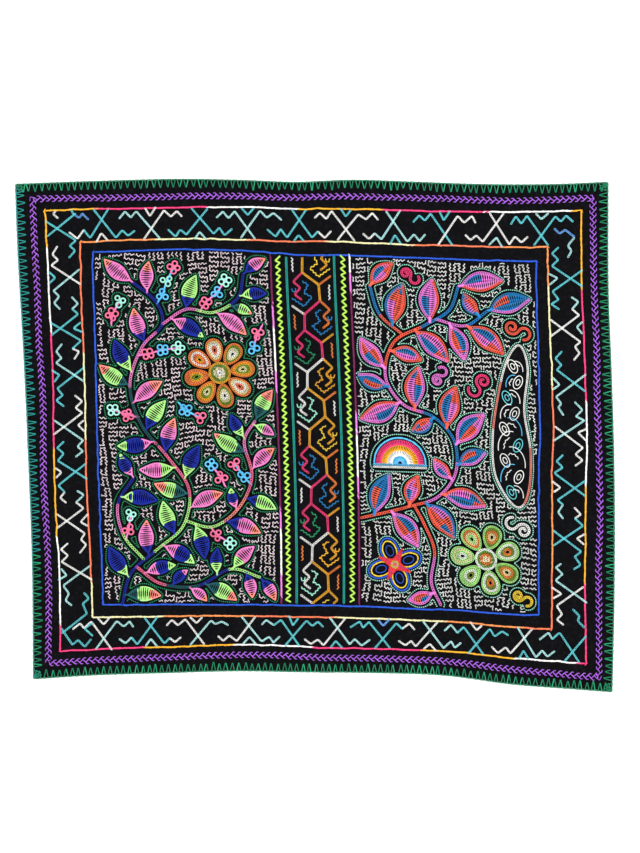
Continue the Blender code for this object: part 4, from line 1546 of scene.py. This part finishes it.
def outline_threads(ground, dye_name, seed):
    """A dotted outline round all the motifs of a field, one gap away from them."""
    threads = Threads((dye_name,), seed)
    kernel = np.ones(5) / 5
    for line in ground.contours(sizes("field", "gap")):
        if len(line) < 24:
            continue
        padded = np.pad(line, ((2, 2), (0, 0)), mode="edge")
        smooth = np.column_stack([np.convolve(column, kernel, mode="valid") for column in padded.T])
        threads.dots(smooth, dye_name, sizes("field", "dot"), 1.4, lambda places: ground.framed(places, 2.4))
    return threads


def meander(runs, draw):
    """One piece of a meander strip along u from zero: runs to and fro across it, joined by turns.

    Each run waves nearly two and a half times from side to side, and each turn dips a little inwards.
    """
    run, spacing = sizes("field", "run"), sizes("field", "spacing")
    along = np.linspace(0, 1, 20)
    turn = np.linspace(0, 1, 6)[1:-1]
    pieces = []
    for index in range(runs):
        way = 1 if index % 2 == 0 else -1
        wave = draw.uniform(0.95, 1.3) * np.sin(2 * np.pi * 2.4 * along + draw.uniform(-0.5, 0.5))
        reach = run * draw.uniform(0.94, 1.02)
        pieces.append(np.column_stack((index * spacing + wave * np.sin(np.pi * along) ** 0.3,
                                       way * reach * (along - 0.5))))
        if index < runs - 1:
            dip = 0.9 * np.sin(np.pi * turn)
            pieces.append(np.column_stack(((index + turn) * spacing, way * (run / 2 - dip))))
    return np.vstack(pieces)


def drift(points):
    """How far a hand strays from an even chart: slow waves of a few millimetres."""
    u, v = points.T
    across = 2.6 * np.sin(v / 27 + 1.3 * np.sin(u / 31)) + 0.9 * np.sin(v / 9 + u / 13)
    upward = 2.6 * np.sin(u / 29 + 1.1 * np.sin(v / 43)) + 0.9 * np.sin(u / 8 - v / 15)
    return points + np.column_stack((across, upward))


def meander_pieces(box, draw):
    """The filling's chart: columns of two strips back to back, in pieces with gaps between them.

    Going up each column, a piece is two upright strips of several runs, or a few level strips one over
    the other, as wide as the column.
    """
    strip, spacing = sizes("field", "strip"), sizes("field", "spacing")
    left, right, low, high = box
    for column in range(int((right - left) / strip / 2) + 2):
        middle = left + column * 2 * strip + 0.3 * strip
        rise = low - draw.uniform(0, 5 * spacing)
        while rise < high:
            if draw.uniform() < 0.45:
                for level in range(draw.integers(1, 4)):
                    rise += strip
                    path = meander(4, draw) * (1, draw.choice((-1, 1)))
                    yield path + (middle + 0.6 * spacing - strip, rise - strip / 2)
                continue
            runs = draw.integers(3, 8)
            for lane in (-1, 1):
                path = meander(runs, draw) * (1, lane)
                yield path[:, ::-1] + (middle + lane * strip / 2, rise + spacing / 2)
            rise += runs * spacing + draw.uniform(0.0, 1.0)


def meander_threads(ground, dye_name, seed):
    """The filling: the chart's pieces as one hand strays from it, cut off near the motifs."""
    threads = Threads((dye_name,), seed)
    draw = threads.draw
    radius = sizes("field", "thread") / 2
    for path in meander_pieces(ground.box, draw):
        path = drift(path + draw.normal(0, 0.3, 2))
        kept = (ground.at(path) > sizes("field", "clear")) & ground.framed(path, 2.7)
        edges = np.flatnonzero(np.diff(np.concatenate(([0], kept.view(np.int8), [0]))))
        for start, end in zip(edges[::2], edges[1::2]):
            if end - start > 6:
                threads.tubes(path[start:end], radius, dye_name, 0.0, 3)
    return threads


# Operators.


class EMBROIDERY_OT_cloth(bpy.types.Operator):
    """Lay the black cotton sheet with its hem"""

    bl_idname = "embroidery.cloth"
    bl_label = "Lay the cloth"

    def execute(self, context):
        points, quads = cloth_surface()
        starts = np.arange(len(quads)) * 4
        thing = new_piece("cloth_sheet", lay(points), quads.ravel(), starts, cotton_material())
        declare(thing, "cloth")
        return {"FINISHED"}


class EMBROIDERY_OT_edging(bpy.types.Operator):
    """Work the green edging over the rim"""

    bl_idname = "embroidery.edging"
    bl_label = "Work the edging"

    def execute(self, context):
        dyes = [tuple(getattr(settings("edging"), name)) for name in EDGING_DYES_AND_HIGHLIGHT]
        material = thread_material("mercerised cotton edging thread", dyes)
        edging_threads().piece("edging_stitches", "edging_thread", material, "edging")
        return {"FINISHED"}


def stitch(name, threads):
    """One embroidered piece from its threads."""
    threads.piece(name, "embroidery_thread", embroidery_thread(threads.dyes))


class EMBROIDERY_OT_lines(bpy.types.Operator):
    """Work the braid and the rows that run all round"""

    bl_idname = "embroidery.lines"
    bl_label = "Work the rows all round"

    def execute(self, context):
        stitch("braid", braid_threads())
        outer_runs = [(at, OUTER_DYES[index % 3]) for index, at in enumerate(OUTER_CHANGES)]
        stitch("outer_line", ringed_row(OUTER_LINE, OUTER_DYES, 22, outer_runs))
        stitch("inner_line", ringed_row(INNER_LINE, ("flame", "cream", "apricot"), 23, INNER_RUNS))
        stitch("field_line", ringed_row(FIELD_LINE, ("royal",), 24, ((0.0, "royal"),)))
        return {"FINISHED"}


class EMBROIDERY_OT_border(bpy.types.Operator):
    """Work the crossed-lines border"""

    bl_idname = "embroidery.border"
    bl_label = "Work the border"

    def execute(self, context):
        stitch("crossed_border", border_threads())
        return {"FINISHED"}


class EMBROIDERY_OT_band(bpy.types.Operator):
    """Work the band of stepped hexagons"""

    bl_idname = "embroidery.band"
    bl_label = "Work the band"

    def execute(self, context):
        stitch("band_rows", band_row_threads())
        stitch("band_figures", band_figure_threads())
        return {"FINISHED"}


class EMBROIDERY_OT_motifs(bpy.types.Operator):
    """Work the stems, leaves and flowers of both fields"""

    bl_idname = "embroidery.motifs"
    bl_label = "Work the motifs"

    def execute(self, context):
        left, right = grow("left"), grow("right")
        stitch("left_stems", stem_threads("left", 51))
        stitch("right_stems", stem_threads("right", 52))
        stitch("left_leaves", small_leaf_threads(left.leaves, 53))
        stitch("right_leaves", large_leaf_threads(right.leaves, 54))
        stitch("ring_flowers", ring_threads(left.sprays, 55))
        stitch("left_round_flower", round_flower_threads("left", 56))
        stitch("right_round_flower", round_flower_threads("right", 57))
        stitch("curls", curl_threads(right.curls, 58))
        stitch("dark_flower", dark_flower_threads(59))
        stitch("arch", arch_threads(60))
        stitch("dark_pod", pod_threads(61))
        return {"FINISHED"}


class EMBROIDERY_OT_filling(bpy.types.Operator):
    """Work the dotted outlines and the meander filling"""

    bl_idname = "embroidery.filling"
    bl_label = "Work the filling"

    def execute(self, context):
        for field, outline, filling, seed in (("left", "bottle", "blush", 71), ("right", "sea", "white", 75)):
            ground = grow(field).ground
            stitch(field + "_outlines", outline_threads(ground, outline, seed))
            stitch(field + "_filling", meander_threads(ground, filling, seed + 1))
        return {"FINISHED"}


class EMBROIDERY_OT_stage(bpy.types.Operator):
    """Set the floor, the lights and the camera straight above"""

    bl_idname = "embroidery.stage"
    bl_label = "Set the stage"

    def execute(self, context):
        scene = context.scene
        corners = 4.0 * np.array([(-1, -1, 0), (1, -1, 0), (1, 1, 0), (-1, 1, 0)])
        floor = new_piece("floor", corners, np.arange(4), np.array([0]), paper_material())
        floor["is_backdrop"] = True

        world = bpy.data.worlds.new("soft white room")
        scene.world = world
        world.use_nodes = True
        fill(world.node_tree.nodes["Background"], (), [("Color", (1.0, 1.0, 1.0, 1.0)), ("Strength", 0.92)])

        for name, place, size, power in (("key_light", (0.9, 0.7, 2.6), 1.6, 43.0),
                                         ("fill_light", (-1.1, -0.6, 2.4), 2.0, 12.0)):
            lamp = bpy.data.lights.new(name, "AREA")
            lamp.size = size
            lamp.energy = power
            light = bpy.data.objects.new(name, lamp)
            light.location = place
            light.rotation_euler = (-light.location).to_track_quat("-Z", "Y").to_euler()
            scene.collection.objects.link(light)

        lens = bpy.data.cameras.new("camera")
        lens.lens = 85.0
        camera = bpy.data.objects.new("camera", lens)
        stage = settings("stage")
        camera.location = (stage.aim_right, stage.aim_up, stage.distance)
        scene.collection.objects.link(camera)
        scene.camera = camera
        scene.view_settings.view_transform = "Standard"
        return {"FINISHED"}


OPERATORS = (
    EMBROIDERY_OT_cloth, EMBROIDERY_OT_edging, EMBROIDERY_OT_lines, EMBROIDERY_OT_border, EMBROIDERY_OT_band,
    EMBROIDERY_OT_motifs, EMBROIDERY_OT_filling, EMBROIDERY_OT_stage,
)


class EMBROIDERY_PT_panel(bpy.types.Panel):
    """The cloth's steps and settings."""

    bl_idname = "EMBROIDERY_PT_panel"
    bl_label = "Embroidered cloth"
    bl_space_type = "VIEW_3D"
    bl_region_type = "UI"
    bl_category = "Cloth"

    def draw(self, context):
        for operator in OPERATORS:
            self.layout.operator(operator.bl_idname)
        for group, kind in GROUPS.items():
            box = self.layout.box()
            box.label(text=group.capitalize())
            for name in kind.__annotations__:
                box.prop(settings(group), name)


def register():
    for group, kind in GROUPS.items():
        bpy.utils.register_class(kind)
        setattr(bpy.types.Scene, "embroidery_" + group, PointerProperty(type=kind))
    for kind in OPERATORS + (EMBROIDERY_PT_panel,):
        bpy.utils.register_class(kind)


def unregister():
    for kind in (EMBROIDERY_PT_panel,) + OPERATORS[::-1]:
        bpy.utils.unregister_class(kind)
    for group, kind in GROUPS.items():
        delattr(bpy.types.Scene, "embroidery_" + group)
        bpy.utils.unregister_class(kind)


def main():
    register()
    for kind in OPERATORS:
        getattr(bpy.ops.embroidery, kind.bl_idname.split(".")[1])()
    boxes = {name: [[float(value) for value in corner] for corner in box]
             for name, box in (("cad", CAD_BOX), ("visual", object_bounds()))}


if __name__ == "__main__":
    main()
